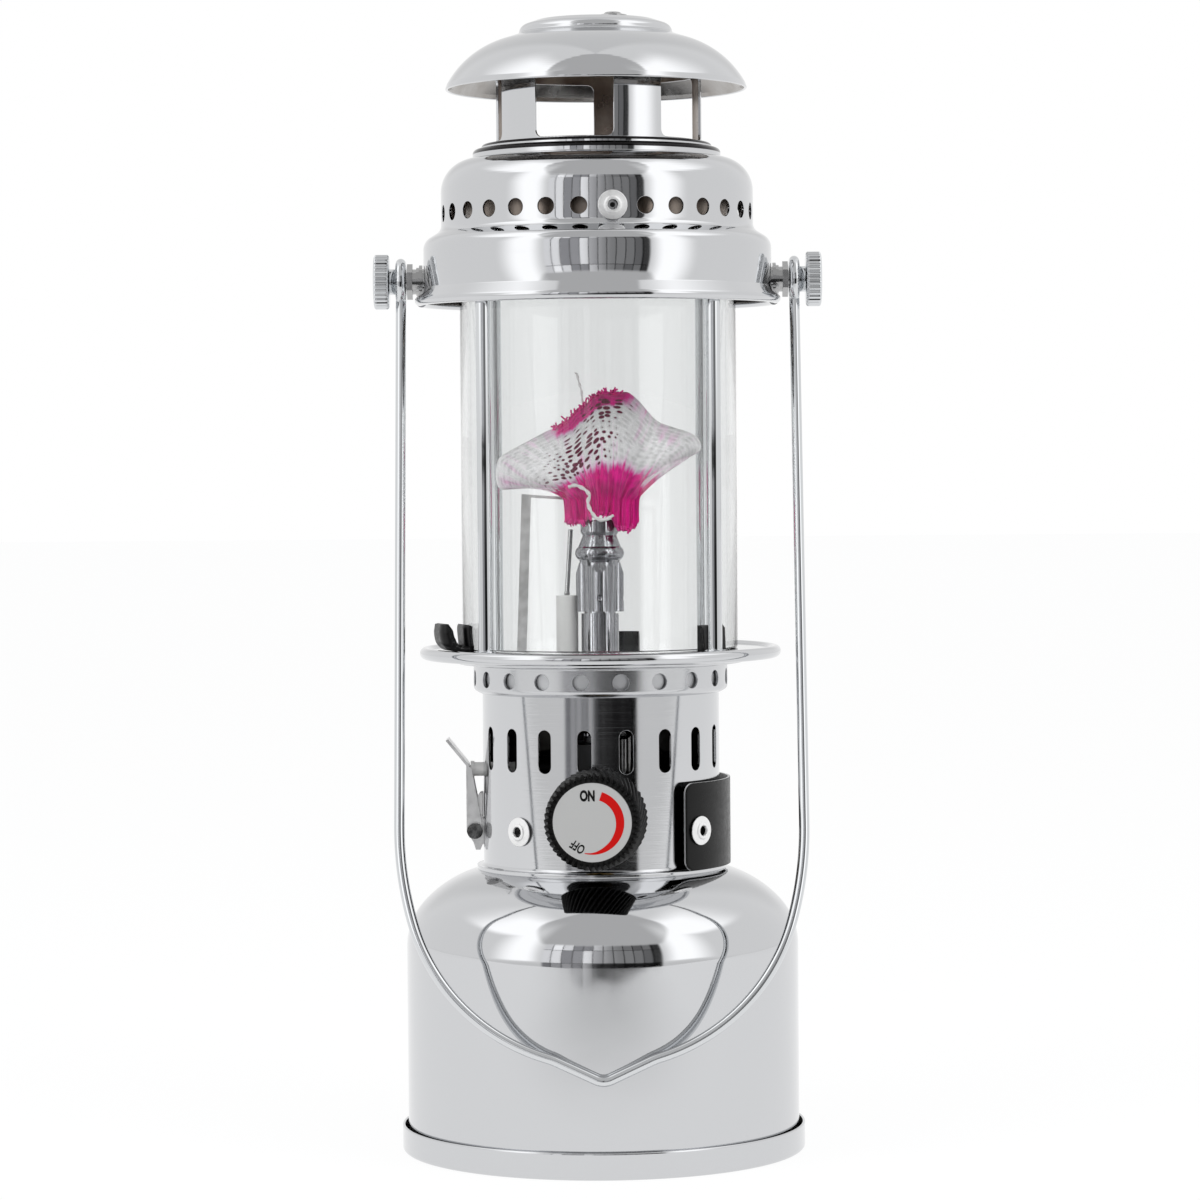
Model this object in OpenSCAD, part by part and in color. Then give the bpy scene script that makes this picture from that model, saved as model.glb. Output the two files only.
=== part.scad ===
// Gas lantern: a chromed drum hides a screw-on cartridge, a slotted housing carries the valve
// and the burner, and a glass globe stands in a four-post cage under a vented hood.
// Millimetres, +Z up, origin at the centre of the resting face, -Y towards the control knob.

/* [Sheet metal] */
// Thickness of the pressed steel sheet
sheet_t = 0.8; // [0.6:0.1:1.1]
// Gap left between two pieces that move apart
part_gap = 0.3; // [0.2:0.05:0.4]
// Radial clearance of a turning fit
run_gap = 0.05; // [0.02:0.01:0.08]

/* [Base and drum] */
// Outer radius of the drum wall
drum_r = 57; // [48:0.5:66]
// Height of the straight drum wall
drum_straight_z = 59.4; // [52:0.2:70]
// Radius of the lower shoulder arc
shoulder_low_r = 19; // [16:0.5:22]
// Radius of the upper shoulder arc
shoulder_high_r = 33; // [28:0.5:36]
// Height of the base cover's rim
base_h = 7.4; // [6:0.2:10]
// Open seam between the rim and the drum
base_seam = 0.9; // [0.5:0.1:1.2]
// Radius of the opening in the drum's top
neck_hole_r = 29; // [20:0.5:31]

/* [Cartridge and regulator] */
// Outer radius of the gas cartridge
cartridge_r = 54; // [45:0.5:54.5]
// Height of the cartridge's straight wall
cartridge_wall_h = 55; // [45:1:57]
// Radius of the cartridge's threaded valve neck
valve_neck_r = 5.55; // [5:0.05:6]
// Radius of the regulator's collar
collar_r = 15; // [12:0.5:20]

/* [Burner housing] */
// Outer radius of the slotted housing
housing_r = 34.4; // [32:0.2:35.4]
// Top of the slotted housing, above the drum's top
housing_h = 52.6; // [50:0.2:54]
// Number of air slots
slot_count = 18; // [12:1:20]
// Width of an air slot
slot_w = 4; // [2:0.2:5]
// Length of an air slot
slot_len = 12.4; // [8:0.2:14]
// Height of the slot centres above the drum's top
slot_rise = 35.4; // [32:0.2:36]
// Angle of the first slot from the front
slot_phase = 12; // [0:1:20]
// Outer radius of the vent collar
vent_collar_r = 36.9; // [36:0.1:38.5]
// Number of round holes in the vent collar
collar_hole_count = 20; // [12:1:24]
// Radius of a collar hole
collar_hole_r = 2.3; // [1.5:0.05:2.4]

/* [Gallery and cage] */
// Outer radius of the gallery
gallery_r = 52.5; // [50.5:0.5:56]
// Radius of the gallery's rolled edge
gallery_bead_r = 1.75; // [1.3:0.05:2.2]
// Number of air holes in the gallery floor
floor_hole_count = 16; // [8:1:20]
// Radius of an air hole in the gallery floor
floor_hole_r = 2.6; // [1.8:0.1:2.6]
// Radius of a cage post
post_r = 2.1; // [1.6:0.1:2.4]
// Sideways distance of a post from the axis
post_x = 32.5; // [31.5:0.1:33]
// Depth of a post from the axis
post_y = 31; // [30.5:0.1:31.6]
// Height of the cage, from the gallery to the ring's flange
cage_h = 102.3; // [80:0.5:120]
// Height of the cage ring's wall
ring_h = 9.6; // [9:0.2:10.4]

/* [Glass] */
// Outer radius of the glass globe
glass_r = 40; // [36:0.2:40.6]
// Wall of the glass globe
glass_t = 2; // [1.2:0.1:2.6]
// How far the glass reaches past the cage ring's flange
glass_over = 9.7; // [4:0.1:11]

/* [Hood] */
// Outer radius of the hood's skirt
skirt_r = 50.4; // [50.3:0.1:52]
// Outer radius of the vented tier
tier_r = 45.2; // [44:0.1:45.8]
// Height of the skirt's lip under the stud axis
lip_drop = 7.2; // [6.6:0.1:8]
// Number of positions round the vented tier
vent_count = 30; // [24:3:36]
// Radius of a vent hole
vent_r = 2.4; // [1.5:0.1:2.8]
// Angle of the first hood rivet from the front
rivet_phase = 5.5; // [0:0.5:12]
// Radius of the inner chimney
chimney_r = 38; // [36:0.5:39]

/* [Crown and cap] */
// Outer radius of the crown
crown_r = 30.5; // [28:0.1:31]
// Number of crown legs
leg_count = 5; // [3:1:6]
// Width of a crown leg, as an angle
leg_angle = 28; // [20:1:34]
// Angle of the first crown leg from the front
leg_phase = 23.4; // [0:0.2:72]
// Height of a crown window
window_h = 17; // [12:0.5:20]
// Outer radius of the cap's rim
cap_r = 43.6; // [40:0.2:46]
// Radius of the cap's raised centre
cap_boss_r = 22.2; // [18:0.2:23]
// Sideways place of the cap rivet
cap_rivet_x = 5; // [0:0.5:8]

/* [Pivots and bail] */
// Height of the pivot studs above the cage ring's flange
stud_rise = 4.4; // [4:0.1:5]
// Radius of a stud's threaded shank
shank_r = 2.5; // [2:0.1:2.8]
// Radius of a stud's shoulder
shoulder_r = 3.65; // [3.3:0.05:3.7]
// Radius of a thumb nut's hub
hub_r = 3.7; // [3.3:0.1:4]
// Radius of a thumb nut's knurled head
nut_r = 7.9; // [6:0.1:9]
// Thickness of a thumb nut's knurled head
nut_t = 4.4; // [3:0.2:6]
// Number of ridges on a thumb nut
nut_ridges = 32; // [20:2:40]
// Radius of the bail wire
wire_r = 1.5; // [1.1:0.1:1.6]
// Sideways distance of a bail arm from the axis
bail_x = 57; // [56.8:0.1:59]
// Length of the straight bail arm below the pivot
arm_len = 159.9; // [140:0.1:170]
// Radius of the first bend under the arm
bend_1_r = 100; // [90:1:110]
// Radius of the long bottom bend
bend_2_r = 56; // [50:1:58]

/* [Control knob] */
// Height of the knob's axis above the drum's top
knob_rise = 17.1; // [15.5:0.1:18.5]
// Angle by which the knob points to the left
knob_yaw = 6; // [0:0.5:7]
// Sideways distance of the valve's axis from the lantern's axis
knob_side = 2.7; // [0:0.1:3]
// Radius of the knob's front over its teeth
knob_r = 13.7; // [12:0.1:14.6]
// Length of the knob
knob_len = 15.3; // [12:0.1:18]
// Number of knob teeth
knob_teeth = 48; // [30:1:56]
// Radius of the dial disc
dial_r = 11.1; // [9:0.1:11.4]
// Radius of the valve spindle
spindle_r = 3; // [2:0.1:3.4]

/* [Igniter] */
// Height of the lever's pivot above the drum's top
lever_rise = 10.9; // [9:0.1:12]
// Length of the lever's plate above its pivot
lever_len = 19; // [18.5:0.5:21]
// Width of the lever
lever_w = 10; // [8:0.5:12]
// Radius of the igniter's plunger
plunger_r = 2; // [1.5:0.1:2.4]
// Radius of the lever's pivot pin
pivot_pin_r = 1.2; // [1:0.1:1.5]

/* [Nameplate and rivets] */
// Angle of the nameplate's front edge from the front
plate_from = 39.5; // [36:0.5:60]
// Angle of the nameplate's rear edge from the front
plate_to = 136; // [110:1:140]
// Height of the nameplate
plate_h = 25; // [18:0.5:25.5]
// Radius of a pop rivet's head
rivet_head_r = 4.15; // [3.4:0.05:4.4]
// Radius of a pop rivet's shank
rivet_r = 2; // [1.5:0.1:2.4]

/* [Burner] */
// Outer radius of the mixing tube
mix_r = 5.45; // [4.5:0.05:6]
// Height of the mixing tube's top above the gallery
mix_top = 12; // [8:0.5:16]
// Outer radius of the mantle holder's lobes
holder_r = 6.95; // [6.2:0.05:7.2]
// Length of the mantle holder
holder_len = 25.6; // [22:0.2:28]
// Radius of the ceramic insulator
ceramic_r = 3.2; // [2.4:0.1:3.2]
// Sideways place of the ceramic insulator
ceramic_x = -9.6; // [-10.5:0.1:-9.5]

/* [Hidden] */
$fn = 64;
eps = 0.01;

// Heights that follow from the driving sizes
high_a = 43;
high_b = 75;
rim_r = drum_r + base_seam + sheet_t;
low_c = [drum_r - shoulder_low_r, drum_straight_z];
high_c = low_c + (shoulder_low_r - shoulder_high_r) * [cos(high_a), sin(high_a)];
drum_top_z = high_c[1] + shoulder_high_r * sin(high_b) + 0.5;
housing_top_z = drum_top_z + housing_h;
slot_z = drum_top_z + slot_rise;
collar_low_z = housing_top_z - 1.6;
collar_top_z = collar_low_z + 8.1;
floor_z = collar_top_z + 4.4;
floor_t = 1;
bead_z = floor_z - 1.05;
flange_z = floor_z + cage_h;
ring_r = skirt_r - sheet_t - 0.6;
stud_z = flange_z + stud_rise;
lip_z = stud_z - lip_drop;
glass_top_z = flange_z + glass_over;
tier_z = stud_z + 16.2;
vent_z = stud_z + 19.2;
dome_z = stud_z + 25.6;
dome_r = 9.6;
hood_flange_z = dome_z + 12.3;
crown_foot_h = 4.1;
window_z = hood_flange_z + crown_foot_h;
cap_rim_z = window_z + window_h - 3.4;
knob_z = drum_top_z + knob_rise;
lever_z = drum_top_z + lever_rise;
lever_x = -(housing_r + 2.4);
rivet_z = drum_top_z + 12.3;
plate_z = drum_top_z + 1;
plate_r = housing_r + 3.1;

rivet_hole_r = rivet_r + 0.03;

// Points of an arc about (cx, cz), from angle a to angle b
function arc(cx, cz, r, a, b, n = 8) =
  [for (i = [0:n]) let (t = a + (b - a) * i / n) [cx + r * cos(t), cz + r * sin(t)]];
// A rectangle about the origin with its corners rounded
function round_box(w, h, r) = concat(
  arc(w / 2 - r, h / 2 - r, r, 0, 90, 5), arc(r - w / 2, h / 2 - r, r, 90, 180, 5),
  arc(r - w / 2, r - h / 2, r, 180, 270, 5), arc(w / 2 - r, r - h / 2, r, 270, 360, 5)
);
function heading(p, q) = (q - p) / norm(q - p);
function leftward(d) = [-d[1], d[0]];
// A corner of a path moved to its left by t, along the bisector of its two sides
function moved(p, i, t) =
  let (
    n = len(p) - 1,
    a = leftward(i > 0 ? heading(p[i - 1], p[i]) : heading(p[0], p[1])),
    b = leftward(i < n ? heading(p[i], p[i + 1]) : heading(p[n - 1], p[n])),
    m = (a + b) / norm(a + b)
  )
  p[i] + m * t / (m * a);
function beside(p, t) = [for (i = [0:len(p) - 1]) moved(p, i, t)];
function backward(p) = [for (i = [len(p) - 1:-1:0]) p[i]];
function off_axis(p) = [for (q = p) [max(0, q[0]), q[1]]];

// A pressed sheet of revolution: the path is its outer face, the sheet lies to its left
module pressed(path, t = sheet_t)
  rotate_extrude($fn = 96) polygon(off_axis(concat(path, backward(beside(path, t)))));

// Puts a piece drawn along +X at an angle from the front, positive to the right
module at_angle(a) rotate([0, 0, a - 90]) children();

// A solid between two angles from the front, two radii and two heights
module sector(a, b, r_in, r_out, z, h)
  translate([0, 0, z]) rotate([0, 0, a - 90]) rotate_extrude(angle = b - a) translate([r_in, 0]) square([r_out - r_in, h]);

// What a rounded corner leaves over: a square corner at the origin, opening to +X and +Y
module spandrel(r, depth)
  linear_extrude(depth, center = true) polygon(concat([[-1, -1], [r, -1]], arc(r, r, r, 270, 180, 5), [[-1, r]]));

// An opening or plate between two angles and two heights, its four corners rounded
module rounded_sector(a, b, r_in, r_out, z, h, corner) {
  difference() {
    sector(a, b, r_in, r_out, z, h);
    for (s = [0, 1], e = [0, 1]) translate([0, 0, z + e * h]) at_angle(s == 0 ? a : b)
      translate([(r_in + r_out) / 2, 0, 0]) rotate([0, 90, 0]) rotate([0, 0, 90]) mirror([s, 0, 0]) mirror([0, e, 0])
        spandrel(corner, r_out - r_in + 2);
  }
}

// A pop rivet drawn along +X, its head standing on x = face and its shank going in by grip
module pop_rivet(face, grip) {
  rotate([0, 90, 0]) {
    translate([0, 0, face]) cylinder(r1 = rivet_head_r, r2 = rivet_head_r * 0.72, h = 0.9);
    difference() {
      translate([0, 0, face]) cylinder(r = rivet_head_r * 0.5, h = 1.3);
      translate([0, 0, face + 0.5]) cylinder(r = rivet_head_r * 0.26, h = 2);
    }
    translate([0, 0, face - grip]) cylinder(r = rivet_r, h = grip + 0.4);
  }
}

// Body: base cover

base_foot_r = 1.2;
base_floor_z = 2;
module base_cover() {
  path = concat(
    [[0, base_floor_z], [rim_r - 11, base_floor_z], [rim_r - 9, 0]],
    arc(rim_r - base_foot_r, base_foot_r, base_foot_r, -90, 0),
    [[rim_r, base_h]]
  );
  color("silver") pressed(path);
}

// Body: drum, cartridge, valve and burner

drum_low_z = sheet_t + part_gap;
module drum_shell() {
  path = concat(
    [[drum_r, drum_low_z]],
    arc(low_c[0], low_c[1], shoulder_low_r, 0, high_a),
    arc(high_c[0], high_c[1], shoulder_high_r, high_a + 4, high_b),
    [[housing_r + 1.4, drum_top_z], [neck_hole_r, drum_top_z]]
  );
  color("silver") pressed(path);
}

cartridge_z = base_floor_z + sheet_t + 0.5;
cartridge_top_z = drum_top_z - 4;
module gas_cartridge() {
  wall_top = cartridge_z + cartridge_wall_h;
  path = concat(
    [[0, cartridge_z + 6], [cartridge_r - 12, cartridge_z + 3]],
    arc(cartridge_r - 2, cartridge_z + 2, 2, -120, 0),
    arc(cartridge_r - 13, wall_top, 13, 0, 62),
    [[collar_r + 2, cartridge_top_z - 3], [collar_r - 1, cartridge_top_z], [valve_neck_r + 2, cartridge_top_z]]
  );
  color("steelblue") pressed(path, 0.6);
}

valve_top_z = drum_top_z + 6;
module cartridge_valve() {
  color("darkgoldenrod") difference() {
    union() {
      translate([0, 0, cartridge_top_z - 3.4]) cylinder(r = valve_neck_r + 4, h = 2.8);
      translate([0, 0, cartridge_top_z - 3]) cylinder(r = valve_neck_r, h = valve_top_z - cartridge_top_z + 3);
    }
    translate([0, 0, cartridge_top_z - 5]) cylinder(r = 1.5, h = 20);
  }
}

collar_low = cartridge_top_z + 1.2;
collar_high = drum_top_z + 13;
module regulator_collar() {
  color("gainsboro") difference() {
    translate([0, 0, collar_low]) union() {
      cylinder(r = collar_r, h = 8.6);
      translate([0, 0, 8.6]) cylinder(r1 = collar_r, r2 = 10, h = 2.4);
      cylinder(r = 10, h = collar_high - collar_low);
    }
    translate([0, 0, collar_low - eps]) cylinder(r = valve_neck_r + run_gap, h = valve_top_z - collar_low + 0.6);
    for (a = [0:30:330]) rotate([0, 0, a]) translate([collar_r + 1, 0, collar_low - 1]) cylinder(r = 2, h = 8);
  }
}

module regulator_seal() {
  color("black") translate([0, 0, cartridge_top_z + 0.05]) difference() {
    cylinder(r = collar_r - 4, h = 1.1);
    translate([0, 0, -1]) cylinder(r = valve_neck_r + 0.3, h = 3);
  }
}

block_w = 16;
block_front = 14;
block_back = 8;
block_top = slot_z + 0.8;
module valve_block() {
  color("darkgray") difference() {
    union() {
      translate([-block_w / 2, -block_front, collar_high])
        cube([block_w, block_front + block_back, block_top - collar_high]);
      translate([0, 0, block_top - eps]) cylinder(r = 5, h = 2);
    }
    at_knob() translate([0, 0, 4]) cylinder(r = spindle_r + run_gap, h = 20);
    translate([0, 0, collar_high - 1]) cylinder(r = 1.5, h = knob_z - collar_high);
  }
}

// Puts a piece drawn along +Z on the knob's axis, its distance from the lantern's middle as Z
module at_knob()
  translate([knob_side, 0, knob_z]) rotate([0, 0, -knob_yaw]) rotate([90, 0, 0]) children();

gland_hole_r = 6.4;
module valve_gland() {
  color("goldenrod") at_knob() difference() {
    union() {
      translate([0, 0, block_front + 0.85]) cylinder(r = 7, h = 4, $fn = 6);
      translate([0, 0, block_front + 0.85]) cylinder(r = 5.6, h = housing_r - block_front);
    }
    translate([0, 0, block_front - 1]) cylinder(r = spindle_r + run_gap, h = housing_r);
  }
}

knob_back = housing_r + 1.8;
spindle_end = knob_back + knob_len - 5;
module valve_spindle() {
  color("goldenrod") at_knob() {
    translate([0, 0, 5]) cylinder(r1 = 0.6, r2 = spindle_r, h = 4);
    translate([0, 0, 9 - eps]) cylinder(r = spindle_r, h = spindle_end - 9);
  }
}

// A toothed outline: two points to a tooth, with a flat at the tip and at the root
function toothed(r, depth, count) = [
  for (i = [0:count - 1], k = [[-0.32, 0], [0.1, 0], [0.28, 1], [0.5, 1]])
    let (t = 360 * (i + k[0]) / count, q = r - depth * k[1]) [q * cos(t), q * sin(t)]
];

rear_r = knob_r + 0.65;
dial_recess = 0.7;
module control_knob() {
  color([0.09, 0.09, 0.09]) at_knob() difference() {
    intersection() {
      translate([0, 0, knob_back - 0.1]) linear_extrude(knob_len + 0.2) polygon(toothed(rear_r + 0.15, 1.35, knob_teeth));
      rotate_extrude() polygon([
        [0, knob_back], [rear_r - 1.5, knob_back], [rear_r, knob_back + 1],
        [rear_r, knob_back + 2], [knob_r, knob_back + knob_len - 1.2], [knob_r - 1, knob_back + knob_len], [0, knob_back + knob_len]
      ]);
    }
    translate([0, 0, knob_back + knob_len - dial_recess]) cylinder(r = dial_r + 0.1, h = 2);
    translate([0, 0, knob_back - 1]) cylinder(r = spindle_r, h = spindle_end - knob_back + 1);
    translate([0, 0, knob_back - 1]) difference() {
      cylinder(r = dial_r, h = 7);
      translate([0, 0, -1]) cylinder(r = spindle_r + 2.5, h = 9);
    }
  }
}

module knob_dial()
  color("lightgray") at_knob() translate([0, 0, knob_back + knob_len - dial_recess]) cylinder(r = dial_r, h = 0.5);

jet_top_z = block_top + 9;
module gas_jet() {
  color("goldenrod") difference() {
    union() {
      translate([0, 0, block_top + 2]) cylinder(r = 4.4, h = 3.4, $fn = 6);
      translate([0, 0, block_top + 2]) cylinder(r1 = 3, r2 = 1.6, h = 7);
    }
    translate([0, 0, block_top + 1]) cylinder(r = 0.5, h = 12);
  }
}

// Bleed tube: it stands close behind a slot, its mouth cut on a slant that faces forward
bleed_x = 6.2;
bleed_y = -(housing_r - 5.9);
bleed_r = 2.3;
module bleed_tube() {
  color("silver") difference() {
    union() {
      translate([bleed_x, bleed_y, knob_z + 8]) cylinder(r = bleed_r, h = slot_z + 6.2 - knob_z - 8);
      translate([bleed_x, bleed_y, knob_z + 10.5]) rotate([-90, 0, 0]) cylinder(r = 1.6, h = -bleed_y - block_front);
    }
    translate([bleed_x, bleed_y, knob_z + 12.5]) cylinder(r = 1.15, h = 40);
    translate([bleed_x - 5, bleed_y + bleed_r, slot_z + 6.2]) rotate([31, 0, 0]) translate([0, -12, 0]) cube([10, 16, 10]);
  }
}

mix_low_z = jet_top_z - 3;
mix_top_z = floor_z + mix_top;
module mixing_tube() {
  color("silver") difference() {
    union() {
      translate([0, 0, mix_low_z]) cylinder(r = mix_r, h = mix_top_z - mix_low_z);
      translate([0, 0, block_top + 2]) cylinder(r = mix_r + 1, h = mix_low_z - block_top);
    }
    translate([0, 0, block_top + 1]) cylinder(r = mix_r - sheet_t, h = 80);
    for (a = [45:90:315]) rotate([0, 0, a]) translate([0, 0, mix_low_z - 1]) rotate([0, 90, 0])
      cylinder(r = 2.4, h = 12);
  }
}

holder_z = mix_top_z - 6;
holder_show_z = mix_top_z + 0.5;
holder_top_z = holder_show_z + holder_len;
lobe_top_z = holder_show_z + 13.7;
module mantle_holder() {
  core_r = mix_r - sheet_t - 0.05;
  lobe_r = 2.9;
  color("gray") difference() {
    union() {
      translate([0, 0, holder_z]) cylinder(r = core_r, h = holder_show_z - holder_z + 2);
      intersection() {
        union() {
          translate([0, 0, holder_show_z]) cylinder(r = holder_r - 1.5, h = lobe_top_z - holder_show_z);
          for (a = [0:90:270]) rotate([0, 0, a]) translate([holder_r - lobe_r, 0, holder_show_z])
            cylinder(r = lobe_r, h = lobe_top_z - holder_show_z);
        }
        rotate_extrude() polygon([
          [0, holder_show_z - 1], [holder_r, holder_show_z - 1], [holder_r, lobe_top_z - 3],
          [holder_r - 0.9, lobe_top_z], [0, lobe_top_z]
        ]);
      }
      rotate_extrude() polygon(concat(
        [[0, lobe_top_z - 1], [holder_r - 1.5, lobe_top_z - 1]],
        arc(holder_r - 2, lobe_top_z + 2.6, 2.2, -60, 55),
        [[holder_r - 2, holder_top_z - 4.4], [holder_r - 1.4, holder_top_z - 3.4], [holder_r - 1.4, holder_top_z], [0, holder_top_z]]
      ));
    }
    translate([0, 0, holder_z - 1]) cylinder(r = core_r - 1, h = 50);
    for (a = [0:90:270]) rotate([0, 0, a]) translate([holder_r + 0.4, 0, holder_show_z + 3.6])
      sphere(r = 1.1);
  }
}

ceramic_y = 3;
ceramic_top_z = floor_z + 17.1;
module ceramic_insulator() {
  color("white") difference() {
    union() {
      translate([ceramic_x, ceramic_y, floor_z - 6]) cylinder(r = ceramic_r - 0.6, h = 8);
      translate([ceramic_x, ceramic_y, floor_z]) cylinder(r = ceramic_r, h = ceramic_top_z - floor_z);
    }
    translate([ceramic_x, ceramic_y, floor_z - 7]) cylinder(r = 0.75, h = 40);
  }
}

electrode_top = [ceramic_x + 1.2, ceramic_y, holder_top_z - 2.6];
module electrode_wire() {
  low = [ceramic_x, ceramic_y, floor_z - 7.5];
  bend = [ceramic_x, ceramic_y, ceramic_top_z + 0.6];
  color("dimgray") {
    rod(low, bend, 0.7);
    rod(bend, electrode_top, 0.7);
    translate(bend) sphere(r = 0.85);
  }
}

// A round rod between two points
module rod(p, q, r) {
  d = q - p;
  translate(p) rotate([0, acos(d[2] / norm(d)), atan2(d[1], d[0])]) cylinder(r = r, h = norm(d));
}

bracket_x = -23;
bracket_w = 2.8;
bracket_t = 0.8;
bracket_top_z = holder_top_z + 7.3;
bracket_lean = 2.2;
module spark_bracket() {
  rise = bracket_top_z - floor_z;
  top_x = rise * tan(bracket_lean);
  reach = electrode_top[0] - bracket_x - top_x - 1.4;
  color("darkgray") translate([bracket_x, ceramic_y, 0]) {
    translate([-bracket_w / 2, -2.5, floor_z]) cube([7, 5, bracket_t]);
    translate([3.4, 0, floor_z]) cylinder(r = 1.6, h = 1.5);
    translate([0, 0, floor_z + 0.1]) rotate([0, bracket_lean, 0]) translate([-bracket_w / 2, -bracket_t / 2, 0])
      cube([bracket_w, bracket_t, rise - 0.3]);
    translate([top_x - bracket_w / 2, -bracket_w / 2, bracket_top_z - bracket_t]) rotate([0, 4, 0])
      cube([reach + bracket_w / 2, bracket_w, bracket_t]);
  }
}

module burner_housing() {
  path = concat(
    [[housing_r + 1.9, drum_top_z], [housing_r + 1.9, drum_top_z + 0.9]],
    arc(housing_r + 1, drum_top_z + 1.9, 1, 260, 180, 3),
    [[housing_r, housing_top_z]]
  );
  color("silver") difference() {
    pressed(path);
    for (i = [0:slot_count - 1]) at_angle(slot_phase + 360 * i / slot_count) {
      translate([housing_r - 4, -slot_w / 2, slot_z - (slot_len - slot_w) / 2]) cube([8, slot_w, slot_len - slot_w]);
      for (s = [-1, 1]) translate([housing_r - 4, 0, slot_z + s * (slot_len - slot_w) / 2])
        rotate([0, 90, 0]) cylinder(r = slot_w / 2, h = 8);
    }
    at_knob() translate([0, 0, housing_r - 6]) cylinder(r = gland_hole_r, h = 10);
    translate([lever_x - 8, 0, plunger_z]) rotate([0, 90, 0]) cylinder(r = plunger_r + 0.4, h = 16);
    for (a = housing_rivet_angles) at_angle(a) translate([housing_r - 5, 0, rivet_z]) rotate([0, 90, 0])
      cylinder(r = rivet_hole_r, h = 10);
    for (a = plate_rivet_angles) at_angle(a) translate([housing_r - 5, 0, rivet_z]) rotate([0, 90, 0])
      cylinder(r = rivet_hole_r, h = 10);
  }
}

carrier_z = rivet_z - 4;
carrier_r = housing_r - sheet_t - 0.05;
module carrier_ring() {
  color("gray") difference() {
    union() {
      translate([0, 0, carrier_z]) difference() {
        cylinder(r = carrier_r, h = 8);
        translate([0, 0, -1]) cylinder(r = carrier_r - 1.2, h = 10);
      }
      intersection() {
        translate([-carrier_r, -5, carrier_z]) cube([2 * carrier_r, 10, 1.5]);
        translate([0, 0, carrier_z - 1]) cylinder(r = carrier_r - 0.5, h = 4);
      }
    }
    translate([0, 0, carrier_z - 1]) cylinder(r = 10 + 0.05, h = 4);
    at_knob() translate([0, 0, 20]) cylinder(r = gland_hole_r, h = 20);
    for (a = concat(housing_rivet_angles, plate_rivet_angles)) at_angle(a)
      translate([carrier_r - 5, 0, rivet_z]) rotate([0, 90, 0]) cylinder(r = rivet_hole_r, h = 10);
  }
}

module vent_collar() {
  path = concat(
    [[housing_r + 0.9, collar_low_z]],
    arc(vent_collar_r - 1.5, collar_low_z + 1.8, 1.5, -50, 0, 5),
    [[vent_collar_r, collar_top_z - 0.2], [gallery_r - 11.6, collar_top_z + 0.4]],
    arc(gallery_r - 11.4, collar_top_z + 1.5, 1.2, -80, 0, 5),
    [[gallery_r - 10.2, floor_z - floor_t]]
  );
  color("silver") difference() {
    pressed(path);
    for (i = [0:collar_hole_count - 1]) at_angle(360 * (i + 0.5) / collar_hole_count)
      translate([vent_collar_r - 4, 0, collar_low_z + 4.35]) rotate([0, 90, 0]) cylinder(r = collar_hole_r, h = 8);
  }
}

baffle_r = 30;
module air_baffle() {
  color("lightgray") pressed([[baffle_r, slot_z + 9], [baffle_r, floor_z - floor_t]]);
}

module gallery() {
  bead_c = gallery_r - gallery_bead_r;
  color("silver") difference() {
    union() {
      rotate_extrude($fn = 96) polygon([
        [0, floor_z - floor_t], [bead_c, floor_z - floor_t], [bead_c, floor_z],
        [glass_r - glass_t - 0.5, floor_z], [glass_r - glass_t - 1, floor_z + 0.9],
        [glass_r - glass_t - 2, floor_z + 0.9], [glass_r - glass_t - 2.5, floor_z], [0, floor_z]
      ]);
      translate([0, 0, bead_z]) rotate_extrude($fn = 96) translate([bead_c, 0]) circle(r = gallery_bead_r, $fn = 32);
    }
    translate([0, 0, floor_z - 5]) cylinder(r = mix_r + 0.1, h = 10);
    translate([ceramic_x, ceramic_y, floor_z - 5]) cylinder(r = ceramic_r - 0.5, h = 10);
    for (i = [0:floor_hole_count - 1]) rotate([0, 0, 360 * (i + 0.5) / floor_hole_count])
      translate([baffle_r + 2.75, 0, floor_z - 5]) cylinder(r = floor_hole_r, h = 10);
  }
}

// Post i stands in the quadrant that its two signs give
post_signs = [[-1, -1], [1, -1], [-1, 1], [1, 1]];
module post(i) {
  s = post_signs[i - 1];
  color("silver") translate([s[0] * post_x, s[1] * post_y, 0]) {
    translate([0, 0, floor_z]) cylinder(r = post_r, h = cage_h);
    translate([0, 0, floor_z]) cylinder(r = post_r + 0.9, h = 0.8);
  }
}

ring_in_r = glass_r + 1.2;
module cage_ring() {
  path = concat(
    [[ring_in_r, flange_z]],
    arc(ring_r - 1.4, flange_z + 1.4, 1.4, -90, 0, 4),
    [[ring_r, flange_z + ring_h]]
  );
  color("silver") difference() {
    pressed(path, 1);
    for (s = [-1, 1]) translate([s * ring_r, 0, stud_z]) rotate([0, 90, 0]) cylinder(r = shank_r + 0.03, h = 8, center = true);
  }
}

module glass_globe() {
  color([0.85, 0.93, 0.95, 0.35]) translate([0, 0, floor_z + 0.1]) difference() {
    cylinder(r = glass_r, h = glass_top_z - floor_z - 0.1, $fn = 96);
    translate([0, 0, -1]) cylinder(r = glass_r - glass_t, h = glass_top_z - floor_z + 2, $fn = 96);
  }
}

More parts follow.
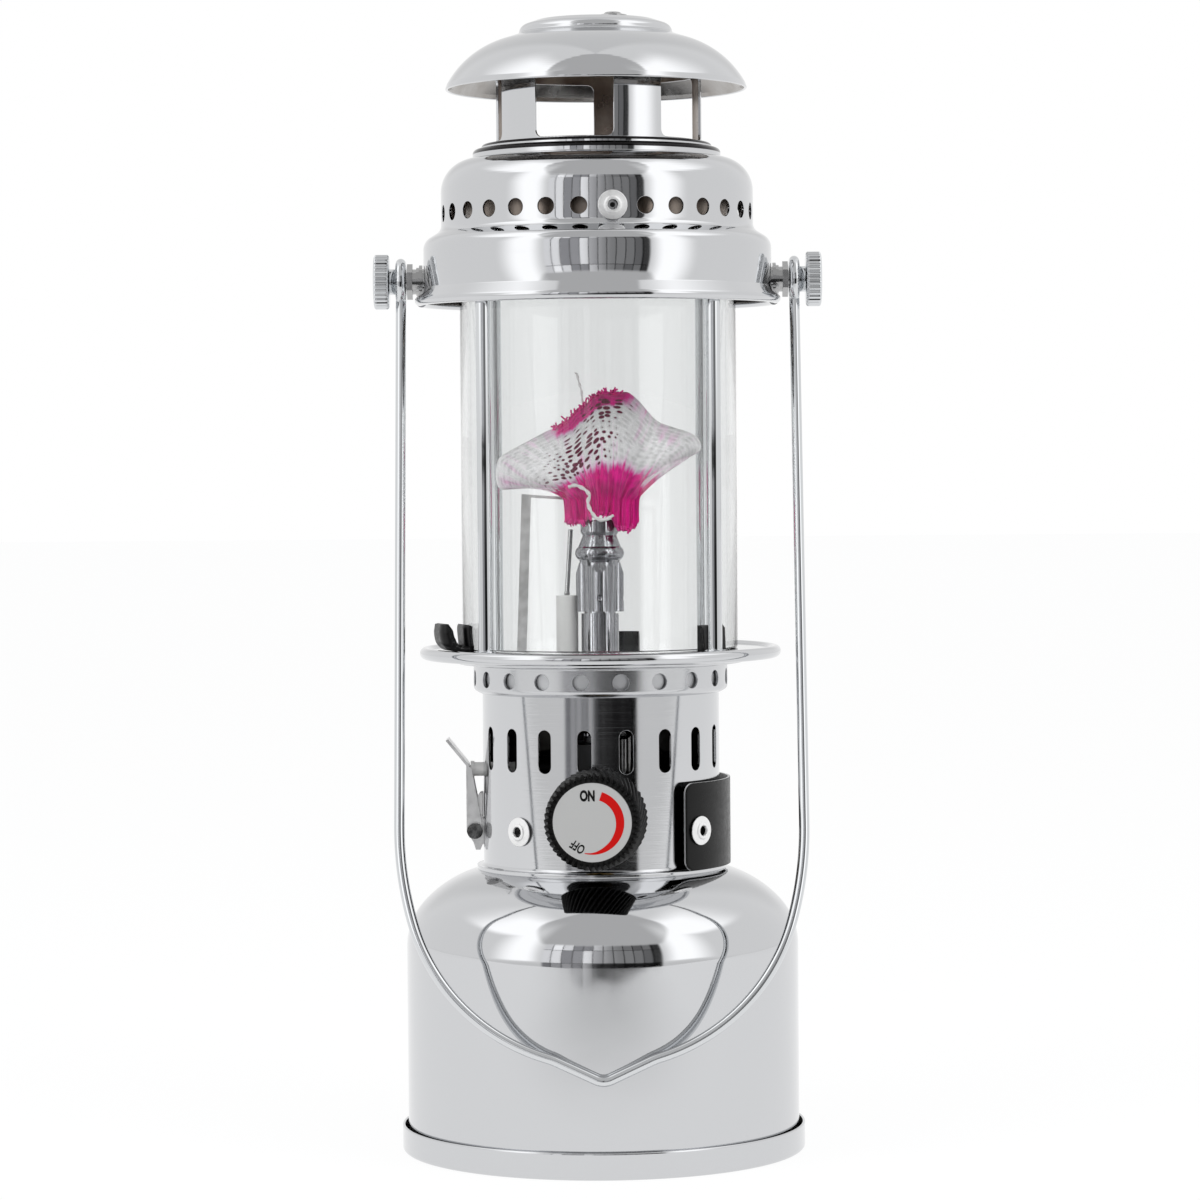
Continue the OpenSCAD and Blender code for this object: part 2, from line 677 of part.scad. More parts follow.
// Spring clip against the glass; a free one also has an outer finger that flares out
clip_w = 10;
clip_angles = [-70, 50, 170];
module glass_clip(i) {
  r = glass_r + 0.15;
  free = i == 1;
  inner = [[r, floor_z + 0.05], [r + 2.4, floor_z + 0.05], [r + 2.1, floor_z + 6.6], [r + 1.2, floor_z + 7.6], [r, floor_z + 7.6]];
  outer = [
    [r + 1, floor_z + 0.05], [r + 6.4, floor_z + 0.05], [r + 8.9, floor_z + 8],
    [r + 7, floor_z + 8.5], [r + 4.2, floor_z + 3.2], [r + 1, floor_z + 2.4]
  ];
  color([0.1, 0.1, 0.1]) at_angle(clip_angles[i - 1]) difference() {
    rotate([90, 0, 0]) linear_extrude(clip_w, center = true) {
      polygon(inner);
      if (free) polygon(outer);
    }
    translate([0, 0, floor_z - 1]) cylinder(r = r, h = 20, $fn = 96);
    if (i == 2) for (s = post_signs) rotate([0, 0, 90 - clip_angles[i - 1]])
      translate([s[0] * post_x, s[1] * post_y, floor_z - 1]) cylinder(r = post_r + 1.1, h = 20);
  }
}

// Body: hood, crown and cap

lip_arc_r = 1.5;
slot_half = shoulder_r + 0.35;
washer_r = 4.8;
module hood_shell() {
  step = skirt_r - tier_r;
  path = concat(
    arc(skirt_r + 1.2, lip_z + lip_arc_r, lip_arc_r, -150, 35),
    [[skirt_r, stud_z - 1.8]],
    arc(skirt_r - 4, stud_z + 9.1, 4, 0, 55, 5),
    arc(tier_r + step * 0.58, tier_z, step * 0.58, 235, 180, 5),
    arc(tier_r - dome_r, dome_z, dome_r, 0, 80),
    [[tier_r - 9.3, dome_z + 9.7]],
    arc(tier_r - 10.6, hood_flange_z - 1.3, 1.3, 0, 90, 5),
    [[crown_r - 2, hood_flange_z]]
  );
  color("silver") difference() {
    pressed(path);
    for (i = [1:vent_count - 1]) if (i % (vent_count / 3) != 0) at_angle(rivet_phase + 360 * i / vent_count)
      translate([tier_r - 4, 0, vent_z]) rotate([0, 90, 0]) cylinder(r = vent_r, h = 8);
    for (a = hood_rivet_angles) at_angle(a) translate([tier_r - 4, 0, vent_z]) rotate([0, 90, 0])
      cylinder(r = rivet_hole_r, h = 8);
    for (s = [-1, 1]) translate([s * skirt_r, 0, 0]) {
      translate([-5, -slot_half, lip_z - 1]) cube([10, 2 * slot_half, stud_z - lip_z + 1]);
      translate([0, 0, stud_z]) rotate([0, 90, 0]) cylinder(r = slot_half, h = 10, center = true);
      translate([-5, -washer_r - 0.4, lip_z - 1]) cube([10, 2 * washer_r + 0.8, 6]);
    }
  }
}
hood_rivet_angles = [rivet_phase, rivet_phase + 120, rivet_phase + 240];

tab_w = 7;
module inner_chimney() {
  low = stud_z + 9;
  path = concat(
    [[chimney_r + 0.6, low], [chimney_r, low + 1.5]],
    arc(chimney_r - 5, dome_z, 5, 0, 50, 5),
    [[crown_r + 0.5, dome_z + 8]]
  );
  color([0.45, 0.38, 0.33]) difference() {
    union() {
      pressed(path);
      for (a = hood_rivet_angles) at_angle(a) {
        translate([chimney_r - 0.4, -tab_w / 2, vent_z - 4.5]) cube([tier_r - sheet_t - chimney_r + 0.15, tab_w, 1]);
        intersection() {
          translate([tier_r - sheet_t - 2, -tab_w / 2, vent_z - 4.5]) cube([4, tab_w, 8.5]);
          translate([0, 0, vent_z - 6]) difference() {
            cylinder(r = tier_r - sheet_t - 0.05, h = 12, $fn = 96);
            translate([0, 0, -1]) cylinder(r = tier_r - sheet_t - 1, h = 14, $fn = 96);
          }
        }
      }
    }
    for (a = hood_rivet_angles) at_angle(a) translate([tier_r - 6, 0, vent_z]) rotate([0, 90, 0])
      cylinder(r = rivet_hole_r, h = 10);
  }
}

module hood_rivets()
  color("gainsboro") for (a = hood_rivet_angles) at_angle(a) translate([0, 0, vent_z]) pop_rivet(tier_r + 0.3, 2.7);

// Outer face of the cap, from its rim to the axis
cap_a = 29;
cap_b = 75;
cap_big_r = 27;
cap_c = [cap_r - 0.4 - cap_big_r * cos(cap_a), cap_rim_z + 1.2 - cap_big_r * sin(cap_a)];
boss_z = cap_c[1] + cap_big_r * sin(cap_b) + 0.8;
function cap_face() = concat(
  [[cap_r, cap_rim_z]],
  arc(cap_c[0], cap_c[1], cap_big_r, cap_a, cap_b),
  [[cap_boss_r + 0.9, boss_z + 0.3]],
  arc(cap_boss_r - 2.6, boss_z + 0.9, 2.6, 0, 68, 4),
  [for (k = [3:-1:0]) [cap_boss_r * 0.26 * k, boss_z + 5.6 - 0.13 * k * k]]
);

// The crown's plate nests under the cap and meets the cup face to face halfway down its shoulder
crown_top = [for (p = beside(cap_face(), sheet_t + 0.1)) if (p[0] < crown_r - 2.5) p];
crown_shoulder = arc(crown_r - 2, crown_top[0][1] - 3.6, 2, 0, 60, 4);
crown_meet = (crown_shoulder[4] + crown_top[0]) / 2;
module crown_cup() {
  path = concat(
    [[crown_r + 2.8, hood_flange_z]],
    arc(crown_r + 1.5, hood_flange_z + 1.3, 1.3, 0, 90, 5),
    arc(crown_r + 1.2, hood_flange_z + 3.8, 1.2, 270, 180, 4),
    crown_shoulder,
    [crown_meet]
  );
  window_w = 2 * crown_r * sin((360 / leg_count - leg_angle) / 2);
  color("silver") difference() {
    pressed(path);
    for (i = [0:leg_count - 1]) at_angle(leg_phase + 360 * (i + 0.5) / leg_count)
      translate([window_w / 2, 0, window_z + window_h / 2]) rotate([90, 0, 90])
        linear_extrude(crown_r) polygon(round_box(window_w, window_h, 2));
  }
}

module crown_plate() {
  color("silver") difference() {
    pressed(concat([crown_meet], crown_top));
    translate([cap_rivet_x, 0, boss_z]) cylinder(r = rivet_hole_r, h = 12);
  }
}

module cap() {
  color("silver") difference() {
    pressed(cap_face());
    translate([cap_rivet_x, 0, boss_z]) cylinder(r = rivet_hole_r, h = 12);
  }
}

module cap_rivet()
  color("gainsboro") translate([cap_rivet_x, 0, 0]) rotate([0, -90, 0]) pop_rivet(boss_z + 5.62, 4);

// Bodies: pivots, thumb nuts and bail

nut_hex_t = 1.6;
shoulder_end = bail_x - wire_r - part_gap - nut_hex_t;
nut_in = shoulder_end + nut_hex_t + part_gap;
nut_face = bail_x + wire_r + 1.9;
module stud(s) {
  color("silver") translate([0, 0, stud_z]) rotate([0, s * 90, 0]) {
    translate([0, 0, ring_r - 2.9]) cylinder(r = stud_rise - 1.2, h = 1.5);
    translate([0, 0, ring_r - 1.5]) cylinder(r = shank_r, h = nut_face + nut_t - 0.6 - ring_r + 1.5);
    translate([0, 0, ring_r + 0.05]) cylinder(r = shoulder_r, h = shoulder_end - ring_r - 0.05);
  }
}

module stud_washers() {
  color("gainsboro") for (s = [-1, 1], w = [[skirt_r + 0.35, washer_r, 0.9], [skirt_r + 1.3, washer_r - 0.7, 0.8]])
    translate([0, 0, stud_z]) rotate([0, s * 90, 0]) translate([0, 0, w[0]]) difference() {
      cylinder(r = w[1], h = w[2]);
      translate([0, 0, -1]) cylinder(r = shoulder_r + run_gap, h = 4);
    }
}

module stud_nuts() {
  color("gainsboro") for (s = [-1, 1]) translate([0, 0, stud_z]) rotate([0, s * 90, 0])
    translate([0, 0, shoulder_end]) difference() {
      cylinder(r = 5.15, h = nut_hex_t, $fn = 6);
      translate([0, 0, -1]) cylinder(r = shank_r + run_gap, h = 4);
    }
}

module thumb_nut(s) {
  color("silver") translate([0, 0, stud_z]) rotate([0, s * 90, 0]) difference() {
    union() {
      translate([0, 0, nut_in]) cylinder(r = hub_r, h = nut_face - nut_in + 1);
      intersection() {
        translate([0, 0, nut_face - 0.1]) linear_extrude(nut_t + 0.2) polygon(toothed(nut_r + 0.15, 0.65, nut_ridges));
        translate([0, 0, nut_face]) rotate_extrude() polygon([
          [0, 0], [nut_r - 0.5, 0], [nut_r, 0.5], [nut_r, nut_t - 0.5], [nut_r - 0.5, nut_t], [0, nut_t]
        ]);
      }
    }
    translate([0, 0, nut_in - 1]) cylinder(r = shank_r + run_gap, h = 30);
  }
}

bend_1_a = 16;
bend_2_a = 73;
tip_a = 65;
bend_3_r = 20;
tip_r = 5;
bend_1 = [bail_x - bend_1_r, -arm_len];
bend_2 = bend_1 + (bend_1_r - bend_2_r) * [cos(bend_1_a), -sin(bend_1_a)];
bend_1_end = bend_1 + bend_1_r * [cos(bend_1_a), -sin(bend_1_a)];
bend_2_end = bend_2 + bend_2_r * [cos(bend_2_a), -sin(bend_2_a)];
bend_3 = bend_2 + (bend_2_r + bend_3_r) * [cos(bend_2_a), -sin(bend_2_a)];
flank_top = bend_3 + bend_3_r * [-cos(tip_a), sin(tip_a)];
flank_len = (flank_top[0] - tip_r * cos(tip_a)) / sin(tip_a);
flank_low = flank_top - flank_len * [sin(tip_a), cos(tip_a)];
tip_c = flank_low + tip_r * [-cos(tip_a), sin(tip_a)];
bail_len = tip_r - tip_c[1];
bail_lean = asin((drum_r + wire_r + part_gap) / bail_len);

// A bent stretch of the bail wire in its own plane, about c and between two angles
module wire_bend(c, r, a, b)
  translate([c[0], 0, c[1]]) rotate([90, 0, 0]) rotate([0, 0, a]) rotate_extrude(angle = b - a)
    translate([r, 0]) circle(r = wire_r, $fn = 24);

// A bead a little fatter than the wire, over the joint of two stretches
module wire_joint(p) translate([p[0], 0, p[1]]) sphere(r = wire_r + 0.04);

module bail_half() {
  eye_r = hub_r + run_gap + wire_r;
  translate([bail_x, 0, 0]) rotate([0, 90, 0]) rotate_extrude() translate([eye_r, 0]) circle(r = wire_r, $fn = 24);
  translate([bail_x, 0, -arm_len]) cylinder(r = wire_r, h = arm_len - eye_r, $fn = 24);
  wire_bend(bend_1, bend_1_r, -bend_1_a, 0);
  wire_bend(bend_2, bend_2_r, -bend_2_a, -bend_1_a);
  wire_bend(bend_3, bend_3_r, 180 - bend_2_a, 180 - tip_a);
  rod([flank_top[0], 0, flank_top[1]], [flank_low[0], 0, flank_low[1]], wire_r);
  for (p = [[bail_x, -arm_len], bend_1_end, bend_2_end, flank_top, flank_low]) wire_joint(p);
}

module bail() {
  color("silver") translate([0, 0, stud_z]) rotate([-bail_lean, 0, 0]) {
    bail_half();
    mirror([1, 0, 0]) bail_half();
    wire_bend(tip_c, tip_r, -90 - (90 - tip_a), -tip_a);
  }
}

// Nameplate, bare and generic, and the rivets

plate_mid = (plate_from + plate_to) / 2;
plate_rivet_angles = [plate_from + 9, plate_to - 9];
housing_rivet_angles = [-42.5, -137.5];
plate_t = 0.8;
module nameplate() {
  corner = 3;
  color([0.08, 0.08, 0.08]) difference() {
    intersection() {
      difference() {
        translate([0, 0, plate_z]) cylinder(r = plate_r, h = plate_h, $fn = 96);
        translate([0, 0, plate_z - 1]) cylinder(r = plate_r - plate_t, h = plate_h + 2, $fn = 96);
      }
      rounded_sector(plate_from, plate_to, plate_r - 5, plate_r + 5, plate_z, plate_h, corner);
    }
    for (a = plate_rivet_angles) at_angle(a) translate([plate_r - 5, 0, rivet_z]) rotate([0, 90, 0])
      cylinder(r = rivet_hole_r, h = 10);
  }
}

module nameplate_rivets() {
  color("gainsboro") for (a = plate_rivet_angles) at_angle(a) translate([0, 0, rivet_z]) {
    pop_rivet(plate_r + 0.15, plate_r - carrier_r + 1.5);
    rotate([0, 90, 0]) translate([0, 0, housing_r + 0.15]) cylinder(r = 3.2, h = plate_r - plate_t - housing_r - 0.3);
  }
}

module housing_rivets()
  color("gainsboro") for (a = housing_rivet_angles) at_angle(a)
    translate([0, 0, rivet_z]) pop_rivet(housing_r + 0.25, housing_r - carrier_r + 1.8);

// Igniter: a thumb lever presses a plunger into a piezo igniter behind the housing wall

plunger_z = lever_z + 17.6;
plunger_travel = 3.2;
lever_travel = atan(plunger_travel / (plunger_z - lever_z));
lever_gap = 2.2;
lever_t = 0.8;
// Outline of a bracket wing about the pivot, +X towards the housing: it clears the plate at full travel
bracket_wing = [
  [2.2, -4], [1.5, -5.6], [0.2, -5.6], [-0.5, -3.4], [-1.6, -1.6], [-1.8, 0], [-1.6, 1.8],
  [-0.5, 4.2], [0.1, 7], [0.8, 9.8], [1.4, 10.7], [2.2, 11]
];
module igniter_bracket() {
  ear_y = lever_w / 2 - lever_t - 0.2 - 1;
  color("gray") difference() {
    union() {
      intersection() {
        translate([-housing_r - 1.4, -ear_y - 1, lever_z - 4]) cube([4, 2 * ear_y + 2, 7.5]);
        translate([0, 0, lever_z - 10]) difference() {
          cylinder(r = housing_r + 0.9, h = 30, $fn = 96);
          translate([0, 0, -1]) cylinder(r = housing_r + 0.05, h = 40, $fn = 96);
        }
      }
      for (s = [-1, 1]) translate([lever_x, s * (ear_y + 0.5), lever_z]) rotate([90, 0, 0])
        linear_extrude(1, center = true) polygon(bracket_wing);
    }
    translate([lever_x, 0, lever_z]) rotate([90, 0, 0]) cylinder(r = pivot_pin_r + 0.03, h = 30, center = true);
  }
}

module igniter_pin() {
  color("gainsboro") translate([lever_x, 0, lever_z]) rotate([90, 0, 0]) {
    cylinder(r = pivot_pin_r, h = lever_w + 1.6, center = true);
    for (s = [0, 1]) mirror([0, 0, s]) translate([0, 0, lever_w / 2 + 0.2]) cylinder(r = 2.3, h = 0.8);
  }
}

// Drawn in the XZ plane about the pivot: a plate with two cheeks and a flared thumb tab
module igniter_lever() {
  cheek = [
    [-lever_gap - 0.2, -0.3], [-1.6, -2], [0, -2.4], [1.2, -1.8], [1.9, 0], [1.9, 3], [1.3, 6], [0.6, 10],
    [0, 13], [-0.5, 16], [-0.9, lever_len - 0.8], [-lever_gap - 0.2, lever_len]
  ];
  color("silver") translate([lever_x, 0, lever_z]) difference() {
    union() {
      for (s = [-1, 1]) translate([0, s * (lever_w / 2 - lever_t / 2), 0]) rotate([90, 0, 0])
        linear_extrude(lever_t, center = true) union() {
          polygon(cheek);
          circle(r = 2.1);
        }
      translate([-lever_gap - 0.2, -lever_w / 2, 3.6]) cube([lever_t, lever_w, lever_len - 3.6]);
      translate([-lever_gap - 0.2, 0, lever_len]) rotate([90, 0, 0]) linear_extrude(lever_w, center = true)
        polygon([[0, -0.6], [0.8, -0.6], [0.8, 0.2], [-5.2, 7.7], [-5.9, 7.2], [0, 0]]);
    }
    rotate([90, 0, 0]) cylinder(r = pivot_pin_r + run_gap, h = 30, center = true);
  }
}

plunger_face = lever_x - lever_gap - 0.2 + lever_t + part_gap + 0.1;
piezo_x = -25;
piezo_len = 13;
module igniter_plunger() {
  color("ivory") translate([plunger_face, 0, plunger_z]) rotate([0, 90, 0]) {
    cylinder(r = plunger_r, h = piezo_x + 6 - plunger_face);
    cylinder(r = plunger_r + 0.4, h = 1);
  }
}

module piezo_igniter() {
  color("dimgray") difference() {
    union() {
      translate([piezo_x, 0, plunger_z]) rotate([0, 90, 0]) cylinder(r = 3.8, h = piezo_len);
      translate([piezo_x, -3, carrier_z + 1.5]) cube([3, 6, plunger_z - carrier_z - 2]);
    }
    translate([piezo_x - 1, 0, plunger_z]) rotate([0, 90, 0])
      cylinder(r = plunger_r + run_gap, h = 7 + plunger_travel + part_gap);
  }
}

// Insulated lead from the piezo igniter up to the foot of the electrode
lead_r = 1.1;
module igniter_lead() {
  from_x = piezo_x + piezo_len;
  bend = ceramic_x - from_x;
  color("darkred") translate([from_x, ceramic_y, plunger_z]) {
    translate([0, 0, bend]) rotate([90, 0, 0]) rotate([0, 0, -90]) rotate_extrude(angle = 90)
      translate([bend, 0]) circle(r = lead_r, $fn = 24);
    translate([bend, 0, bend]) cylinder(r = lead_r, h = floor_z - 7.6 - plunger_z - bend, $fn = 24);
  }
}

// Gas mantle: a knit sock tied round the holder, its belly crumpled and drawn out to both sides

mantle_half = 29.5;
mantle_rings = 24;
mantle_sides = 28;
// Upper and lower outline over the holder's top, against t from -1 at the left end to 1
mantle_upper = [
  [-1, 17.5], [-0.58, 23.8], [-0.34, 27], [-0.17, 31], [0, 35.4], [0.26, 35.8],
  [0.4, 33], [0.58, 27], [0.93, 23.8], [1, 22]
];
mantle_lower = [[-1, 8.4], [-0.5, 9.5], [-0.33, 7.2], [-0.25, 1.1], [0.33, 1.1], [0.42, 10.4], [0.63, 14.9], [1, 18.5]];
function mantle_deep(t) = 2.4 + 11.5 * exp(-pow((t - 0.05) / 0.42, 2));
// Folds run from the tied neck outwards
function mantle_fold(t, a) = 1 + 0.05 * sin(5 * a + 140 * t) + 0.035 * sin(9 * a - 200 * t);
function mantle_point(t, a) =
  let (up = lookup(t, mantle_upper), low = lookup(t, mantle_lower), f = mantle_fold(t, a))
  [
    mantle_half * t,
    mantle_deep(t) * f * cos(a),
    holder_top_z + max(low, (up + low) / 2 + (up - low) / 2 * f * sin(a))
  ];
module mantle_sock() {
  n = mantle_sides;
  points = [for (i = [0:mantle_rings], k = [0:n - 1]) mantle_point(-1 + 2 * i / mantle_rings, 360 * k / n)];
  sides = [for (i = [0:mantle_rings - 1], k = [0:n - 1], h = [0, 1]) let (
      a = i * n + k, b = i * n + (k + 1) % n, c = a + n, d = b + n
    ) h == 0 ? [a, d, b] : [a, c, d]];
  last = mantle_rings * n;
  ends = concat(
    [for (k = [1:n - 2]) [0, k, k + 1]],
    [for (k = [1:n - 2]) [last, last + k + 1, last + k]]
  );
  polyhedron(points, concat(sides, ends));
}

skirt_out = 7.2;
module gas_mantle() {
  color([0.93, 0.9, 0.91]) {
    mantle_sock();
    color([0.88, 0.15, 0.56]) translate([0, 0, holder_top_z - 2.4]) difference() {
      cylinder(r = skirt_out, h = 6);
      translate([0, 0, -1]) cylinder(r = holder_r - 1.4 + 0.35, h = 3.4 + 0.35);
    }
  }
}

module mantle_string() {
  color("white") translate([0, 0, holder_top_z - 0.9]) rotate_extrude() translate([skirt_out + 0.75, 0]) circle(r = 0.5, $fn = 16);
}

base_cover();
drum_shell();
gas_cartridge();
cartridge_valve();
regulator_collar();
regulator_seal();
valve_block();
valve_gland();
valve_spindle();
control_knob();
knob_dial();
gas_jet();
bleed_tube();
mixing_tube();
mantle_holder();
gas_mantle();
mantle_string();
ceramic_insulator();
electrode_wire();
spark_bracket();
burner_housing();
carrier_ring();
vent_collar();
air_baffle();
gallery();
post(1);  // post_1
post(2);  // post_2
post(3);  // post_3
post(4);  // post_4
cage_ring();
glass_globe();
glass_clip(1);  // glass_clip_1
glass_clip(2);  // glass_clip_2
glass_clip(3);  // glass_clip_3
hood_shell();
inner_chimney();
hood_rivets();
crown_cup();
crown_plate();
cap();
cap_rivet();
stud(-1);  // stud_left
stud(1);  // stud_right
stud_washers();
stud_nuts();
thumb_nut(-1);  // thumb_nut_left
thumb_nut(1);  // thumb_nut_right
bail();
nameplate();
nameplate_rivets();
housing_rivets();
igniter_bracket();
igniter_pin();
igniter_lever();
igniter_plunger();
piezo_igniter();
igniter_lead();
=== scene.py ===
"""Looks of the gas lantern.

Smooth chromed pressings, a clear glass tube, a knit mantle and a roped black knob stand over the
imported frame. Profiles are in millimetres and become metres when their mesh is made.
"""

import math

import bpy
import numpy as np
from mathutils import Euler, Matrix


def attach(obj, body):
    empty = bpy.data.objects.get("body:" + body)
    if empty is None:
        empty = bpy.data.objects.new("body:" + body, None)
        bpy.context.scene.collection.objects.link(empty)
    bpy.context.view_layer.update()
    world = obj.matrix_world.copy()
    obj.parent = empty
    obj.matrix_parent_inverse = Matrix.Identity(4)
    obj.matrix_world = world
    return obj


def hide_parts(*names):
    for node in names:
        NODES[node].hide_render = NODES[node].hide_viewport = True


MM = 0.001

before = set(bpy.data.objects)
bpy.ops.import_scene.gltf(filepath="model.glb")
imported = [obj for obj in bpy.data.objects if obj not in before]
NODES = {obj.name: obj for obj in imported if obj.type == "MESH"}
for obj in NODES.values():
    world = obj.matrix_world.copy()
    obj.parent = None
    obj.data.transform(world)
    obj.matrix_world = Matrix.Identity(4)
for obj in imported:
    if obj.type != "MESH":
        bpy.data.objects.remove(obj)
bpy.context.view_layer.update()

# Camera: in front and a little above the lantern's middle, pitched down and rolled, in metres and degrees

DISTANCE, HEIGHT, PITCH, ROLL = 1.2, 0.2016, 2.0, 0.45
camera_data = bpy.data.cameras.new("photo_camera")
camera = bpy.data.objects.new("photo_camera", camera_data)
bpy.context.collection.objects.link(camera)
camera_data.sensor_width = 36
camera_data.lens = 123.84
camera_data.clip_start = 0.05
camera_data.clip_end = 30
camera.location = (0, -DISTANCE, HEIGHT)
tilt = Euler((math.radians(90 - PITCH), 0, 0)).to_matrix()
roll = Euler((0, 0, math.radians(-ROLL))).to_matrix()
camera.rotation_euler = (tilt @ roll).to_euler()
bpy.context.scene.camera = camera

# Sizes shared with the source, in millimetres

SHEET = 0.8
DRUM_R, WALL_H = 57, 59.4
LOW_R, HIGH_R, BEND_A, TOP_A = 19, 33, 43, 75
HIGH_C = (
    DRUM_R - LOW_R - (HIGH_R - LOW_R) * math.cos(math.radians(BEND_A)),
    WALL_H - (HIGH_R - LOW_R) * math.sin(math.radians(BEND_A)),
)
DRUM_TOP = HIGH_C[1] + HIGH_R * math.sin(math.radians(TOP_A)) + 0.5
HOUSING_R = 34.4
HOUSING_TOP = DRUM_TOP + 52.6
SLOTS, SLOT_PHASE, SLOT_W, SLOT_L = 18, 12, 4, 12.4
SLOT_Z = DRUM_TOP + 35.4
COLLAR_R, COLLAR_HOLES, COLLAR_PHASE, COLLAR_HOLE_R = 36.9, 20, 9, 2.3
COLLAR_LOW = HOUSING_TOP - 1.6
COLLAR_TOP = COLLAR_LOW + 8.1
FLOOR_Z = COLLAR_TOP + 4.4
GALLERY_R, GALLERY_BEAD_R = 52.5, 1.75
GLASS_R, GLASS_BORE_R = 40, 38
FLANGE_Z = FLOOR_Z + 102.3
STUD_Z = FLANGE_Z + 4.4
SKIRT_R, TIER_R = 50.4, 45.2
LIP_Z = STUD_Z - 7.2
TIER_Z = STUD_Z + 16.2
VENT_Z, VENTS, VENT_PHASE, VENT_R = STUD_Z + 19.2, 30, 5.5, 2.4
RIVET_CELLS = (0, 10, 20)
DOME_Z, DOME_R = STUD_Z + 25.6, 9.6
HOOD_TOP = DOME_Z + 12.3
CROWN_R = 30.5
WINDOWS, WINDOW_PHASE, WINDOW_W, WINDOW_H = 5, 59.4, 23.42, 17
WINDOW_Z = HOOD_TOP + 4.1
CAP_RIM, CAP_ARC_R = WINDOW_Z + WINDOW_H - 3.4, 27
KNOB_Z = DRUM_TOP + 17.1
RIVET_Z = DRUM_TOP + 12.3
PLATE_R = HOUSING_R + 3.1
HOLDER_TOP = FLOOR_Z + 12.5 + 25.6
BAIL_X, WIRE_R, EYE_R = 57, 1.5, 5.25


# Materials


def linear(hex_colour):
    """An sRGB colour written in hex, as the linear colour that a shader takes."""
    parts = [int(hex_colour[i : i + 2], 16) / 255 for i in (1, 3, 5)]
    return tuple(c / 12.92 if c <= 0.04045 else ((c + 0.055) / 1.055) ** 2.4 for c in parts) + (1.0,)


def add(tree, kind, inputs=None, to=None, stops=(), **settings):
    """Adds a node with its settings, and sets or links each of its inputs.

    Its first output is linked to the socket named by to. A colour ramp's stops are each a place and an
    sRGB hex.
    """
    made = tree.nodes.new(kind)
    for key, value in settings.items():
        setattr(made, key, value)
    for key, value in (inputs or {}).items():
        if isinstance(value, bpy.types.NodeSocket):
            tree.links.new(value, made.inputs[key])
        else:
            made.inputs[key].default_value = value
    for i, (place, colour) in enumerate(stops):
        stop = made.color_ramp.elements[i] if i < 2 else made.color_ramp.elements.new(place)
        stop.position = place
        stop.color = linear(colour)
    if to is not None:
        tree.links.new(made.outputs[0], to)
    return made


def product(tree, *factors):
    """Product of values. A factor (value, low, high, before, after) is a smooth step of that value."""
    total = None
    for factor in factors:
        if isinstance(factor, tuple):
            value, low, high, before, after = factor
            factor = add(tree, "ShaderNodeMapRange", {
                "Value": value, "From Min": low, "From Max": high, "To Min": before, "To Max": after,
            }, interpolation_type="SMOOTHSTEP").outputs["Result"]
        if total is not None:
            factor = add(tree, "ShaderNodeMath", {0: total, 1: factor}, operation="MULTIPLY").outputs["Value"]
        total = factor
    return total


def material(name, base, metallic=0.0, roughness=0.5, **sockets):
    """A new material with one Principled shader, its node tree and the piece's own coordinates."""
    made = bpy.data.materials.new(name)
    made.use_nodes = True
    tree = made.node_tree
    shader = tree.nodes["Principled BSDF"]
    shader.inputs["Base Color"].default_value = linear(base)
    shader.inputs["Metallic"].default_value = metallic
    shader.inputs["Roughness"].default_value = roughness
    for key, value in sockets.items():
        shader.inputs[key.replace("_", " ")].default_value = value
    return made, tree, shader, add(tree, "ShaderNodeTexCoord").outputs["Object"]


def mottled(tree, shader, coords, lump_mm, low, high):
    """Lets the roughness drift between low and high by noise in lumps lump_mm wide, and returns the noise."""
    noise = add(tree, "ShaderNodeTexNoise", {"Vector": coords, "Scale": 1 / (lump_mm * MM), "Detail": 3.0})
    add(tree, "ShaderNodeMapRange", {
        "Value": noise.outputs["Fac"], "From Min": 0.3, "From Max": 0.7, "To Min": low, "To Max": high,
    }, to=shader.inputs["Roughness"])
    return noise.outputs["Fac"]


def clouded(name, base, lump_mm, low, high, metallic=1.0, tones=(), raised=None, **sockets):
    """A finish whose roughness drifts between low and high in lumps lump_mm wide.

    tones colours the same lumps by a ramp's stops, and raised lifts them by a strength and a depth in
    millimetres.
    """
    made, tree, shader, coords = material(name, base, metallic, low, **sockets)
    lumps = mottled(tree, shader, coords, lump_mm, low, high)
    if tones:
        add(tree, "ShaderNodeValToRGB", {"Fac": lumps}, shader.inputs["Base Color"], tones)
    if raised:
        add(tree, "ShaderNodeBump", {
            "Height": lumps, "Strength": raised[0], "Distance": raised[1] * MM,
        }, shader.inputs["Normal"])
    return made


def chrome_plate():
    """Bright chrome plate on deep drawn steel: a mirror with the press's slow waves and a faint haze."""
    made, tree, shader, coords = material("chrome_plated_drawn_steel", "#CECFD1", 1.0, 0.05)
    mottled(tree, shader, coords, 9, 0.03, 0.075)
    # Waves 26 mm long, as a press leaves them
    waves = add(tree, "ShaderNodeTexNoise", {"Vector": coords, "Scale": 1 / (26 * MM), "Detail": 1.5})
    add(tree, "ShaderNodeBump", {
        "Height": waves.outputs["Fac"], "Strength": 0.4, "Distance": 0.5 * MM,
    }, shader.inputs["Normal"])
    return made


